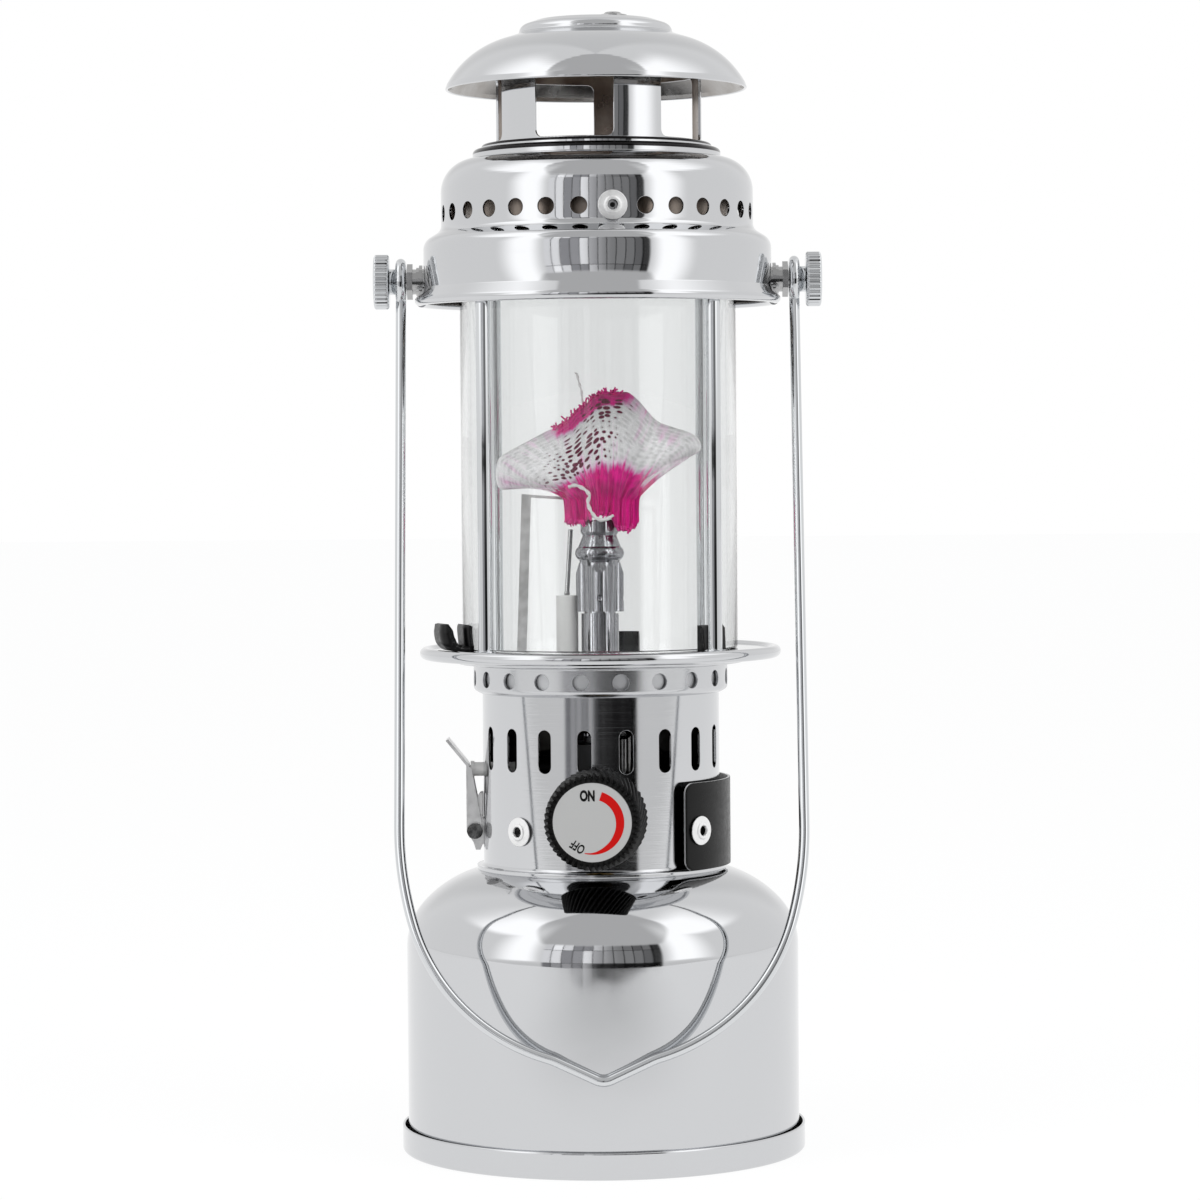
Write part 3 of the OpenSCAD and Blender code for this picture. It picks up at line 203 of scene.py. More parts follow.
def brushed_chrome(name, low, high):
    """Chrome over a turned and brushed tube: fine scratches run round it, so highlights smear upwards."""
    made, tree, shader, coords = material(name, "#CDCED0", 1.0, low)
    # Brush lines 0.25 mm apart up the tube and 60 mm long round it
    stretched = add(tree, "ShaderNodeMapping", {"Vector": coords, "Scale": (0.02, 0.02, 5.0)})
    lines = add(tree, "ShaderNodeTexNoise", {
        "Vector": stretched.outputs["Vector"], "Scale": 1 / (1.2 * MM), "Detail": 5.0,
    })
    add(tree, "ShaderNodeBump", {
        "Height": lines.outputs["Fac"], "Strength": 0.5, "Distance": 0.022 * MM,
    }, shader.inputs["Normal"])
    mottled(tree, shader, coords, 14, low, high)
    return made


def burner_steel():
    """Turned stainless burner tube: dark, nearly a mirror, with fine lines up its length."""
    made, tree, shader, coords = material("turned_stainless_burner", "#A3A3A6", 1.0, 0.1)
    # Lines a third of a millimetre apart round the tube and 13 mm long up it
    stretched = add(tree, "ShaderNodeMapping", {"Vector": coords, "Scale": (6.0, 6.0, 0.15)})
    lines = add(tree, "ShaderNodeTexNoise", {
        "Vector": stretched.outputs["Vector"], "Scale": 1 / (2 * MM), "Detail": 3.0,
    })
    streaks = ((0.35, "#8C8C90"), (0.65, "#B0B0B3"))
    add(tree, "ShaderNodeValToRGB", {"Fac": lines.outputs["Fac"]}, shader.inputs["Base Color"], streaks)
    mottled(tree, shader, coords, 6, 0.07, 0.14)
    return made


def clear_glass():
    """Clear drawn borosilicate tube. Shadow rays pass through it, so what it holds is lit."""
    made, tree, shader, coords = material(
        "clear_borosilicate", "#F1F2F2", 0.0, 0.0, IOR=1.47, Transmission_Weight=1.0
    )
    mottled(tree, shader, coords, 20, 0.0, 0.012)
    see_through = add(tree, "ShaderNodeBsdfTransparent", {"Color": (0.96, 0.97, 0.97, 1)})
    add(tree, "ShaderNodeMixShader", {
        "Fac": add(tree, "ShaderNodeLightPath").outputs["Is Shadow Ray"],
        1: shader.outputs["BSDF"], 2: see_through.outputs["BSDF"],
    }, tree.nodes["Material Output"].inputs["Surface"])
    return made


def mantle_knit():
    """Knit rayon of the mantle: soft white yarn with painted shade between its strands, round open meshes
    painted dark as the shade inside, dyed pink at the hem and the tip.

    The mesh's own attributes say where the yarns run (weave, one unit to a stitch), how open the
    stitches are (slack) and where the dye is (dye). The knit is drawn as coarse as the photograph
    shows it.
    """
    made, tree, shader, coords = material(
        "knit_rayon_mantle", "#FDFBFB", 0.0, 0.9, Sheen_Weight=0.2, Sheen_Roughness=0.5
    )
    weave = add(tree, "ShaderNodeAttribute", attribute_name="weave").outputs["Vector"]
    slack = add(tree, "ShaderNodeAttribute", attribute_name="slack").outputs["Fac"]
    dye = add(tree, "ShaderNodeAttribute", attribute_name="dye").outputs["Fac"]
    cells = add(tree, "ShaderNodeTexVoronoi", {
        "Vector": weave, "Scale": 1.0, "Randomness": 0.5,
    }, voronoi_dimensions="2D").outputs["Distance"]
    fibre = add(tree, "ShaderNodeTexNoise", {
        "Vector": coords, "Scale": 1 / (0.3 * MM), "Detail": 4.0,
    }).outputs["Fac"]
    drawn_out = add(tree, "ShaderNodeMapping", {"Vector": weave, "Scale": (2.0, 0.12, 1.0)})
    strands = add(tree, "ShaderNodeTexNoise", {
        "Vector": drawn_out.outputs["Vector"], "Scale": 1.0, "Detail": 2.0,
    }).outputs["Fac"]
    # Dye takes unevenly along the strands, so its edge is drawn out in streaks
    haze = add(tree, "ShaderNodeTexNoise", {
        "Vector": coords, "Scale": 1 / (9 * MM), "Detail": 2.0,
    }).outputs["Fac"]
    haze = add(tree, "ShaderNodeMapRange", {
        "Value": haze, "From Min": 0.42, "From Max": 0.68, "To Min": 0.0, "To Max": 0.24,
    }).outputs["Result"]
    haze = add(tree, "ShaderNodeMath", {0: haze, 1: dye}, operation="ADD").outputs["Value"]
    amount = add(tree, "ShaderNodeMath", {0: strands, 1: 0.9, 2: haze}, operation="MULTIPLY_ADD")
    dyed = add(tree, "ShaderNodeValToRGB", {"Fac": amount.outputs["Value"]}, stops=(
        (0.55, "#FEFCFD"), (1.06, "#F51298"), (0.76, "#F8DCF0"), (0.9, "#F27CC2"),
    )).outputs["Color"]
    # Painted shade in the hollows of the stitches and the gaps between strands, deeper where the yarn is
    # dyed, times the fibre's own grain
    depth = add(tree, "ShaderNodeMapRange", {"Value": dye, "To Min": 0.86, "To Max": 0.6}).outputs["Result"]
    shades = [
        add(tree, "ShaderNodeMapRange", {
            "Value": value, "From Min": low, "From Max": high, "To Min": dark, "To Max": light,
        }).outputs["Result"]
        for value, low, high, dark, light in (
            (cells, 0.1, 0.5, 0.8, 1.04), (strands, 0.35, 0.58, depth, 1.0), (fibre, 0.35, 0.65, 0.88, 1.06),
        )
    ]
    yarn = add(tree, "ShaderNodeVectorMath", {0: dyed, "Scale": product(tree, *shades)}, operation="SCALE")
    # An open stitch is painted dark crimson: painted shade that stands for the unlit inside of the mantle
    uneven = add(tree, "ShaderNodeTexNoise", {"Vector": weave, "Scale": 0.55, "Detail": 1.0}).outputs["Fac"]
    slack = add(tree, "ShaderNodeMath", {0: uneven, 1: 0.4, 2: slack}, operation="MULTIPLY_ADD")
    gap = add(tree, "ShaderNodeMath", {0: slack.outputs["Value"], 1: cells}, operation="SUBTRACT")
    gap = add(tree, "ShaderNodeMapRange", {
        "Value": gap.outputs["Value"], "From Min": -0.02, "From Max": 0.05,
    })
    both = add(tree, "ShaderNodeMix", {
        "Factor": gap.outputs["Result"], 6: yarn.outputs["Vector"], 7: linear("#6B1638"),
    }, data_type="RGBA")
    tree.links.new(both.outputs[2], shader.inputs["Base Color"])
    height = fibre
    for rise, share in ((cells, 1.5), (strands, 0.7)):
        height = add(tree, "ShaderNodeMath", {0: rise, 1: share, 2: height}, operation="MULTIPLY_ADD")
        height = height.outputs["Value"]
    add(tree, "ShaderNodeBump", {
        "Height": height, "Strength": 0.5, "Distance": 0.35 * MM,
    }, shader.inputs["Normal"])
    return made


CHROME = chrome_plate()
BRUSHED = brushed_chrome("chrome_over_brushed_tube", 0.06, 0.11)
# Satin chrome of the vent collar: broad, soft highlights, so it reads lighter than the tube under it
COLLAR = brushed_chrome("satin_chrome_collar", 0.18, 0.26)
# Dull satin chrome of the liner: one even light grey behind the collar's holes
LINER = brushed_chrome("satin_chrome_liner", 0.45, 0.6)
BURNER = burner_steel()
GLASS = clear_glass()
KNIT = mantle_knit()
# Chrome plate at the crown's foot and the hood's top step, painted dark: painted shade and painted reflection
# of the cap's dark underside
DARK_CHROME_PAINTED_SHADE = clouded("chrome_foot_painted_shade", "#2C2B2C", 5, 0.05, 0.1)
# Chrome plate on drawn wire and rod: a bright, sharp mirror
WIRE = clouded("chrome_plated_wire", "#D6D8DA", 3, 0.02, 0.05)
# The unplated inner face of the pressings: dull drawn steel that gives back little light
INSIDE = clouded("unplated_drawn_steel_inside", "#6E6C69", 5, 0.34, 0.5)
# The plated but unpolished inner face of the hood and the cap: satin, clouded by hot gas
SATIN = clouded("satin_chrome_inside", "#B5B3B1", 8, 0.14, 0.3, tones=((0.3, "#9C9894"), (0.7, "#BDBBB9")))
# Bright zinc plate on screws, nuts and brackets: grey and shiny, a little cloudy
ZINC = clouded("zinc_plated_steel", "#B0B0B0", 1.6, 0.1, 0.22, raised=(0.1, 0.05))
# Tumbled zinc plate on the stamped lever and its bracket: light, between satin and bright
STAMPED = clouded("tumbled_zinc_plate", "#F0F0F0", 2, 0.3, 0.46, raised=(0.1, 0.05))
# Steel that the flame has tinted: brown and straw patches under a satin oxide
HEATED = clouded("heat_tinted_steel", "#8F837A", 7, 0.26, 0.42, tones=((0.3, "#8A7D74"), (0.7, "#B9AEA4")))
# Strip of plain nickel by the flame: light grey, satin, with faint darker heat spots
NICKEL = clouded("dull_nickel_strip", "#E4E3E1", 3, 0.38, 0.55, tones=((0.35, "#D6D5D3"), (0.65, "#F4F3F2")))
# Rolled aluminium of the blind rivets' heads: bright but not a mirror
RIVET = clouded("aluminium_blind_rivet", "#F8F8F8", 1.2, 0.45, 0.6, raised=(0.08, 0.04))
# Turned brass of the jet and the valve, slightly dulled
BRASS = clouded("turned_brass", "#B8985A", 2, 0.24, 0.4)
# Zinc die casting of the valve block: plain grey with a fine cast grain
CASTING = clouded("zinc_die_casting", "#7B7C7E", 1, 0.35, 0.5, raised=(0.2, 0.06))
# Moulded ABS of the knob: deep black, satin, with the mould's fine spark grain
ABS = clouded(
    "moulded_black_abs", "#050505", 0.5, 0.32, 0.46, 0.0, raised=(0.1, 0.02), Specular_IOR_Level=0.2
)
# Stoved black paint on sheet metal: glossy with a little orange peel
PAINT = clouded(
    "stoved_black_paint", "#050505", 1.4, 0.26, 0.38, 0.0, raised=(0.12, 0.03), Specular_IOR_Level=0.22
)
# Black oxide on the spring clips: near black, satin, grey where the light grazes it
OXIDE = clouded(
    "black_oxide_spring_steel", "#0A0A0B", 1, 0.26, 0.42, 0.0, raised=(0.12, 0.03), Specular_IOR_Level=0.35
)
# Light grey foil of the dial: matt, very slightly cloudy
DIAL = clouded("grey_dial_foil", "#BFBFBE", 0.8, 0.42, 0.58, 0.0)
# Screen printed inks, thin and matt, a touch uneven at their grain
BLACK_INK = clouded("black_screen_ink", "#0C0C0C", 0.4, 0.48, 0.62, 0.0, Specular_IOR_Level=0.15)
RED_INK = clouded("red_screen_ink", "#CE0D0A", 0.4, 0.48, 0.62, 0.0, Specular_IOR_Level=0.15)
# Unglazed steatite of the insulator: off white, matt, with a fine grain
STEATITE = clouded("unglazed_steatite", "#EEEDEB", 0.8, 0.5, 0.7, 0.0, raised=(0.12, 0.04))
# Moulded nitrile rubber of the seal: black and dull
RUBBER = clouded("nitrile_rubber", "#161616", 0.6, 0.6, 0.8, 0.0)
# Lacquered steel of the cartridge: plain blue and glossy, hidden in the drum
CAN = clouded("painted_gas_can", "#3A5F8C", 5, 0.25, 0.38, 0.0)
# Silicone insulation of the spark lead: brick red and soft to the light
LEAD = clouded("silicone_insulation", "#7A2420", 1, 0.42, 0.58, 0.0)
# Twisted white cotton of the tie and its loose ends: matt, with the twist's fine relief
THREAD = clouded(
    "twisted_cotton_thread", "#F2F0EF", 0.3, 0.75, 0.95, 0.0, raised=(0.4, 0.1), Sheen_Weight=0.2
)
# The mantle's rayon yarn, dyed pink right through, as it frays at the hem and the tip
DYED = clouded(
    "dyed_rayon_yarn", "#EE1590", 0.3, 0.75, 0.95, 0.0, tones=((0.3, "#DC1084"), (0.7, "#F848AC")),
    Sheen_Weight=0.2,
)

for finish, names in {
    CHROME: "cage_ring",
    WIRE: "post_1 post_2 post_3 post_4",
    STAMPED: "igniter_lever igniter_bracket",
    ZINC: "stud_left stud_right stud_washers stud_nuts igniter_pin bleed_tube carrier_ring"
    " air_baffle electrode_wire",
    HEATED: "inner_chimney",
    NICKEL: "spark_bracket",
    BURNER: "mixing_tube mantle_holder",
    BRASS: "cartridge_valve valve_gland valve_spindle gas_jet",
    CASTING: "regulator_collar valve_block",
    ABS: "piezo_igniter",
    OXIDE: "glass_clip_2 glass_clip_3",
    DIAL: "knob_dial",
    STEATITE: "ceramic_insulator igniter_plunger",
    RUBBER: "regulator_seal",
    CAN: "gas_cartridge",
    LEAD: "igniter_lead",
}.items():
    for name in names.split():
        NODES[name].data.materials.clear()
        NODES[name].data.materials.append(finish)


# Profiles and revolved sheets


def arc(cx, cz, r, a, b, n=16):
    """Points of an arc about (cx, cz): centre plus r times (cos, sin), from a to b degrees."""
    t = np.radians(np.linspace(a, b, n + 1))
    return np.stack([cx + r * np.cos(t), cz + r * np.sin(t)], axis=1)


def joined(*parts):
    """One path from several, with points that fall on each other kept once."""
    p = np.concatenate([np.atleast_2d(np.asarray(q, float)) for q in parts])
    keep = np.append(True, np.linalg.norm(np.diff(p, axis=0), axis=1) > 1e-6)
    return p[keep]


def moved(p, t):
    """A path shifted to its left by t: each corner along the bisector of its two stretches."""
    d = np.diff(p, axis=0)
    d /= np.linalg.norm(d, axis=1)[:, None]
    s = np.stack([d[:, 1], -d[:, 0]], axis=1)
    a, b = np.vstack([s[:1], s]), np.vstack([s, s[-1:]])
    m = a + b
    m /= np.linalg.norm(m, axis=1)[:, None]
    return p - m * (t / np.sum(m * a, axis=1))[:, None]


def eased(p, e):
    """Adds a point at distance e from both ends of each long stretch, so a corner shades tightly."""
    d = np.diff(p, axis=0)
    length = np.linalg.norm(d, axis=1)
    long = length > 3 * e
    unit = d / length[:, None]
    rows = [p[:-1], p[:-1] + unit * e, p[1:] - unit * e]
    keep = np.stack([np.full(len(d), True), long, long], axis=1).ravel()
    return np.vstack([np.stack(rows, axis=1).reshape(-1, 2)[keep], p[-1:]])


def finely(p, step):
    """A closed outline with every stretch cut into pieces no longer than step."""
    q = np.vstack([p, p[:1]])
    length = np.concatenate([[0], np.cumsum(np.linalg.norm(np.diff(q, axis=0), axis=1))])
    s = np.union1d(length, np.arange(0, length[-1], step))
    return np.stack([np.interp(s, length, q[:, 0]), np.interp(s, length, q[:, 1])], 1)[:-1]


def sheet_loop(outer, t=SHEET):
    """Section of a sheet: its outer face, a half round edge, its inner face and another edge.

    An end that lies on the axis takes no edge, as the two faces close on it. The second result
    marks the points of the inner face.
    """
    inner = moved(outer, t)[::-1]
    a = np.radians(np.linspace(0, 180, 7))[1:-1, None]
    parts, marks = [], []
    for face, mark, start, end in ((outer, 0, outer[-1], inner[0]), (inner, 1, inner[-1], outer[0])):
        parts.append(face)
        marks.append(np.full(len(face), mark))
        if min(start[0], end[0]) > 0.01:
            mid, half = (start + end) / 2, (start - end) / 2
            parts.append(mid + half * np.cos(a) + np.array([-half[1], half[0]]) * np.sin(a))
            marks.append(np.zeros(len(a)))
    loop = np.concatenate(parts)
    loop[:, 0] = np.maximum(loop[:, 0], 0)
    return loop, np.concatenate(marks).astype(int)


def build(name, grids, finishes, body, replaced=(), shaded=True):
    """Makes one smooth object from grids of (vertices in millimetres, faces, normals, marks).

    The lowest mark at a face's corners picks its finish: 0 the first, 1 the second, 2 the third.
    """
    start = np.cumsum([0] + [len(g[0]) for g in grids])
    faces = [f + s for g, s in zip(grids, start) for f in g[1]]
    verts = np.concatenate([g[0] for g in grids])
    marks = np.concatenate([np.zeros(len(g[0]), int) if g[3] is None else g[3] for g in grids])
    used, back = np.unique(np.concatenate([f.ravel() for f in faces]), return_inverse=True)
    lists, at, side = [], 0, []
    for f in faces:
        lists += back[at : at + f.size].reshape(f.shape).tolist()
        side.append(marks[f].min(axis=1))
        at += f.size
    mesh = bpy.data.meshes.new(name)
    mesh.from_pydata((verts[used] * MM).tolist(), [], lists)
    mesh.shade_smooth()
    for finish in finishes:
        mesh.materials.append(finish)
    if len(finishes) > 1:
        mesh.polygons.foreach_set("material_index", np.concatenate(side).astype(np.int32))
    if shaded:
        normals = np.concatenate([g[2] for g in grids])
        mesh.normals_split_custom_set_from_vertices(normals[used].tolist())
    made = bpy.data.objects.new(name, mesh)
    bpy.context.collection.objects.link(made)
    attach(made, body)
    if replaced:
        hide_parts(*replaced)
    return made


def turned(radius, height, angle):
    """Point at an angle from the front, positive to the right: (r sin a, -r cos a, z)."""
    return np.stack(np.broadcast_arrays(radius * np.sin(angle), -radius * np.cos(angle), height), axis=-1)


def sheet_of(index, wrap_rows=False, wrap_columns=False):
    """Quads over a grid of vertex numbers, rows by columns."""
    rows = np.vstack([index, index[:1]]) if wrap_rows else index
    g = np.hstack([rows, rows[:, :1]]) if wrap_columns else rows
    return np.stack([g[:-1, :-1], g[:-1, 1:], g[1:, 1:], g[1:, :-1]], axis=-1).reshape(-1, 4)


def slopes(loop, closed=True):
    """Unit normal of a path at each of its points, to its right, and which points lie on the axis."""
    n = len(loop)
    step = [np.roll(loop, -1, axis=0) - loop, loop - np.roll(loop, 1, axis=0)]
    step = [s / np.maximum(np.linalg.norm(s, axis=1), 1e-9)[:, None] for s in step]
    tangent = step[0] + step[1]
    if not closed:
        tangent[0], tangent[-1] = step[0][0], step[1][-1]
    tangent /= np.maximum(np.linalg.norm(tangent, axis=1), 1e-9)[:, None]
    flat = np.stack([tangent[:, 1], -tangent[:, 0]], axis=1)
    pole = loop[:, 0] < 1e-6
    for i in np.flatnonzero(pole):
        s = step[0][i] if abs(loop[(i + 1) % n][0]) > 1e-6 else step[1][i]
        flat[i] = [0, -np.sign(s[0])]
    return flat, pole


def wall_patch(radius, heights, angles, sign):
    """A grid of points on a cylinder that faces out (sign 1), or in (sign -1) and then marked 1."""
    quads = sheet_of(np.arange(angles.size).reshape(angles.shape))[:, ::sign]
    points, normals = turned(radius, heights, angles), sign * turned(1.0, 0.0, angles)
    return points.reshape(-1, 3), [quads], normals.reshape(-1, 3), np.full(angles.size, sign < 0, int)


def revolve(loop, columns, phase=0.0, marks=None, bare=None, swing=0.0, closed=True):
    """Turns a section about the axis: point (i, j) = turned(r_i, z_i, phase + 2 pi j / columns + swing_ij).

    bare says which faces (row, column) are left out. A point on the axis closes as a fan.
    """
    n = len(loop)
    flat, pole = slopes(loop, closed)
    a = np.radians(phase) + np.arange(columns) * 2 * np.pi / columns + np.zeros((n, 1)) + swing
    verts = turned(loop[:, :1], loop[:, 1:], a).reshape(-1, 3)
    normals = turned(flat[:, :1], flat[:, 1:], a).reshape(-1, 3)
    index = np.arange(n * columns).reshape(n, columns)
    index[pole] = index[pole][:, :1]
    rows = np.arange(n if closed else n - 1)
    shown = ~(pole[rows] & pole[(rows + 1) % n])[:, None] & np.ones(columns, bool)
    if bare is not None:
        shown &= ~bare[rows]
    low, high = index[rows], index[(rows + 1) % n]
    quads = np.stack([low, np.roll(low, -1, 1), np.roll(high, -1, 1), high], axis=-1)
    bottom, top = pole[rows][:, None] & shown, pole[(rows + 1) % n][:, None] & shown
    faces = [quads[shown & ~bottom & ~top], quads[bottom][:, [0, 2, 3]], quads[top][:, [0, 1, 2]]]
    mark = None if marks is None else np.repeat(marks, columns)
    return verts, [f for f in faces if len(f)], normals, mark


def pierced(radius, z0, z1, count, phase, outline, centre, columns, rows=12, left_out=()):
    """A band of a tube with one opening to a cell, drawn as rings from the cell's edge inwards.

    Ring w is outline + w (cell's edge - outline). The last rings turn through the sheet and go back
    out over the inner face. Cells in left_out stay plain.
    """
    across = columns // count
    half = math.pi * radius / count
    x = np.linspace(-half, half, across + 1)
    z = np.linspace(z0 - centre, z1 - centre, rows + 1)
    rect = np.concatenate([
        np.stack([x[:-1], np.full(across, z[0])], 1), np.stack([np.full(rows, half), z[:-1]], 1),
        np.stack([x[:0:-1], np.full(across, z[-1])], 1), np.stack([np.full(rows, -half), z[:0:-1]], 1),
    ])
    fine = finely(outline, 0.1)
    turn = np.arctan2(fine[:, 1], fine[:, 0])
    order = np.argsort(turn)
    reach = np.interp(
        np.arctan2(rect[:, 1], rect[:, 0]), turn[order], np.linalg.norm(fine[order], axis=1), period=2 * np.pi
    )
    rim = rect / np.linalg.norm(rect, axis=1)[:, None] * reach[:, None]
    along = np.roll(rim, -1, 0) - np.roll(rim, 1, 0)
    inward = np.stack([-along[:, 1], along[:, 0]], 1) / np.linalg.norm(along, axis=1)[:, None]
    ease = 0.14
    lip = rim - inward * ease
    rings = [(lip + (rect - lip) * w, radius, 0) for w in (1, 0.75, 0.5, 0.3, 0.15, 0.06, 0)]
    rings += [(rim, radius - ease, 1), (rim, radius - SHEET + ease, 1)]
    rings += [(lip + (rect - lip) * w, radius - SHEET, 2) for w in (0, 0.1, 0.4, 1)]
    middle = np.radians(phase) + 2 * np.pi * np.array([i for i in range(count) if i not in left_out]) / count
    verts, normals = [], []
    for flat, r, kind in rings:
        a = middle[:, None] + flat[None, :, 0] / radius
        verts.append(turned(r, centre + flat[None, :, 1] + 0 * a, a))
        out = turned(1.0, 0.0, a)
        sideways = np.stack([np.cos(a), np.sin(a), 0 * a], -1)
        side = np.array([0, 0, 1.0]) * inward[None, :, 1:] + sideways * inward[None, :, :1]
        normals.append({0: out, 1: side, 2: -out}[kind])
    verts, normals = np.stack(verts, 1), np.stack(normals, 1)
    index = np.arange(verts.size // 3).reshape(verts.shape[:3])
    a, b = index[:, :-1], index[:, 1:]
    quads = np.stack([a, np.roll(a, -1, 2), np.roll(b, -1, 2), b], axis=-1).reshape(-1, 4)
    marks = np.broadcast_to((np.array([r[2] for r in rings]) == 2)[None, :, None], index.shape)
    grids = [(verts.reshape(-1, 3), [quads], normals.reshape(-1, 3), marks.ravel().astype(int))]
    for i in left_out:
        a = np.radians(phase) + 2 * np.pi * i / count + x[None, :] / radius + 0 * z[:, None]
        for r, sign in ((radius, 1), (radius - SHEET, -1)):
            grids.append(wall_patch(r, (centre + z)[:, None], a, sign))
    return grids


def stretch(loop, radius, z0, z1):
    """The row of a section that runs straight up or down between two heights at one radius."""
    after = np.roll(loop, -1, axis=0)
    hit = (np.abs(loop[:, 0] - radius) < 1e-4) & (np.abs(after[:, 0] - radius) < 1e-4)
    hit &= np.abs(np.minimum(loop[:, 1], after[:, 1]) - z0) < 1e-4
    hit &= np.abs(np.maximum(loop[:, 1], after[:, 1]) - z1) < 1e-4
    return int(np.flatnonzero(hit)[0])


def pressing(name, outer, body, columns=240, finishes=(CHROME, INSIDE), band=None, replaced=None, foot=None):
    """A pressed sheet of revolution, with one band of openings if it has one.

    band is (radius, z0, z1, count, phase, outline, centre, left_out). Outer points between the two
    heights of foot take the third finish.
    """
    loop, marks = sheet_loop(outer)
    if foot:
        marks = np.where((marks == 0) & (loop[:, 1] > foot[0]) & (loop[:, 1] < foot[1]), 2, marks)
    if band is None:
        grids = [revolve(loop, columns, marks=marks)]
    else:
        radius, z0, z1, count, phase = band[:5]
        bare = np.zeros((len(loop), columns), bool)
        bare[[stretch(loop, radius, z0, z1), stretch(loop, radius - SHEET, z0, z1)]] = True
        grids = [revolve(loop, columns, phase - 180 / count, marks, bare)]
        grids += pierced(*band[:7], columns, left_out=band[7])
    build(name + "_looks", grids, finishes, body, replaced or (name,))


def round_hole(r, n=48):
    """Outline of a round hole."""
    t = np.linspace(0, 2 * np.pi, n, endpoint=False)
    return np.stack([r * np.cos(t), r * np.sin(t)], 1)


def round_slot(w, h, r, n=8):
    """Outline of an upright opening w wide and h high with corners of radius r."""
    x, z = w / 2 - r, h / 2 - r
    corners = ((x, z, 0), (-x, z, 90), (-x, -z, 180), (x, -z, 270))
    return joined(*(arc(cx, cz, r, turn, turn + 90, n) for cx, cz, turn in corners))


# Base cover and drum

base = joined([[0, 2], [47.7, 2], [49.7, 0]], arc(57.5, 1.2, 1.2, -90, 0, 8), [[58.7, 7.4]])
pressing("base_cover", eased(base, 0.3), "base")
drum = joined(
    [[DRUM_R, 1.1]], arc(DRUM_R - LOW_R, WALL_H, LOW_R, 0, BEND_A, 24),
    arc(*HIGH_C, HIGH_R, BEND_A, TOP_A, 24), [[35.8, DRUM_TOP], [29, DRUM_TOP]],
)
pressing("drum_shell", eased(drum, 0.3), "lamp")

# Slotted housing, whose point just under the top keeps the rim's shading off the wall, and vent collar

slot_low, slot_high = SLOT_Z - 8.2, SLOT_Z + 8.2
foot = joined(
    [[HOUSING_R + 1.9, DRUM_TOP], [HOUSING_R + 1.9, DRUM_TOP + 0.9]],
    arc(HOUSING_R + 1, DRUM_TOP + 1.9, 1, 260, 180, 6), [[HOUSING_R, slot_low]],
)
housing = joined(
    eased(foot, 0.2), [[HOUSING_R, slot_high], [HOUSING_R, HOUSING_TOP - 0.3], [HOUSING_R, HOUSING_TOP]]
)
pressing(
    "burner_housing", housing, "lamp", columns=SLOTS * 14, finishes=(BRUSHED, INSIDE),
    band=(HOUSING_R, slot_low, slot_high, SLOTS, SLOT_PHASE, round_slot(SLOT_W, SLOT_L, 1.99), SLOT_Z, ()),
)
holes_low, holes_high = COLLAR_LOW + 1.9, COLLAR_TOP - 1.0
rim = joined(
    [[COLLAR_R, holes_high], [COLLAR_R, COLLAR_TOP - 0.2], [40.9, COLLAR_TOP + 0.4]],
    arc(41.1, COLLAR_TOP + 1.5, 1.2, -80, 0, 6), [[42.3, FLOOR_Z - 1]],
)
collar = joined(
    [[HOUSING_R + 0.9, COLLAR_LOW]], arc(COLLAR_R - 1.5, COLLAR_LOW + 1.8, 1.5, -50, 0, 8),
    [[COLLAR_R, holes_low]], eased(rim, 0.2),
)
pressing(
    "vent_collar", collar, "lamp", columns=COLLAR_HOLES * 12, finishes=(COLLAR, CHROME), band=(
        COLLAR_R, holes_low, holes_high, COLLAR_HOLES, COLLAR_PHASE, round_hole(COLLAR_HOLE_R),
        COLLAR_LOW + 4.35, (),
    ),
)

# Liner that shows as a bright wall behind the collar's holes

liner_r = COLLAR_R - 1.2
liner = joined([[liner_r, COLLAR_LOW + 1.4], [liner_r, COLLAR_TOP - 0.9]])
loop, marks = sheet_loop(eased(liner, 0.2), 0.5)
build("collar_liner", [revolve(loop, 160, marks=marks)], (LINER, INSIDE), "lamp")

# Gallery: a flat disc with a rolled edge and a bead that centres the glass

gallery = np.concatenate([
    [[5.6, FLOOR_Z - 1]], arc(GALLERY_R - GALLERY_BEAD_R, FLOOR_Z - 1.05, GALLERY_BEAD_R, 179, 503, 40),
    [[37.5, FLOOR_Z], [37, FLOOR_Z + 0.9], [36, FLOOR_Z + 0.9], [35.5, FLOOR_Z], [5.6, FLOOR_Z]],
])
gallery = eased(np.vstack([gallery, gallery[:1]]), 0.2)[:-1]
build("gallery_looks", [revolve(gallery, 256)], (CHROME,), "lamp", ("gallery",))

# Glass tube with fire polished ends

edge_r = 0.6
tube_low, tube_high = FLOOR_Z + 0.1 + edge_r, FLANGE_Z + 9.7 - edge_r
tube_wall = joined(*(
    arc(r, z, edge_r, turn, turn + 90, 6) for r, z, turn in (
        (GLASS_R - edge_r, tube_low, -90), (GLASS_R - edge_r, tube_high, 0),
        (GLASS_BORE_R + edge_r, tube_high, 90), (GLASS_BORE_R + edge_r, tube_low, 180),
    )
))
build("glass_globe_looks", [revolve(tube_wall, 256)], (GLASS,), "lamp", ("glass_globe",))

# Hood, with vent holes in its upper tier and an open slot over each pivot stud. Round a slot the
# skirt is left out over some columns, and a patch from the gap's edge to the slot's arch fills it

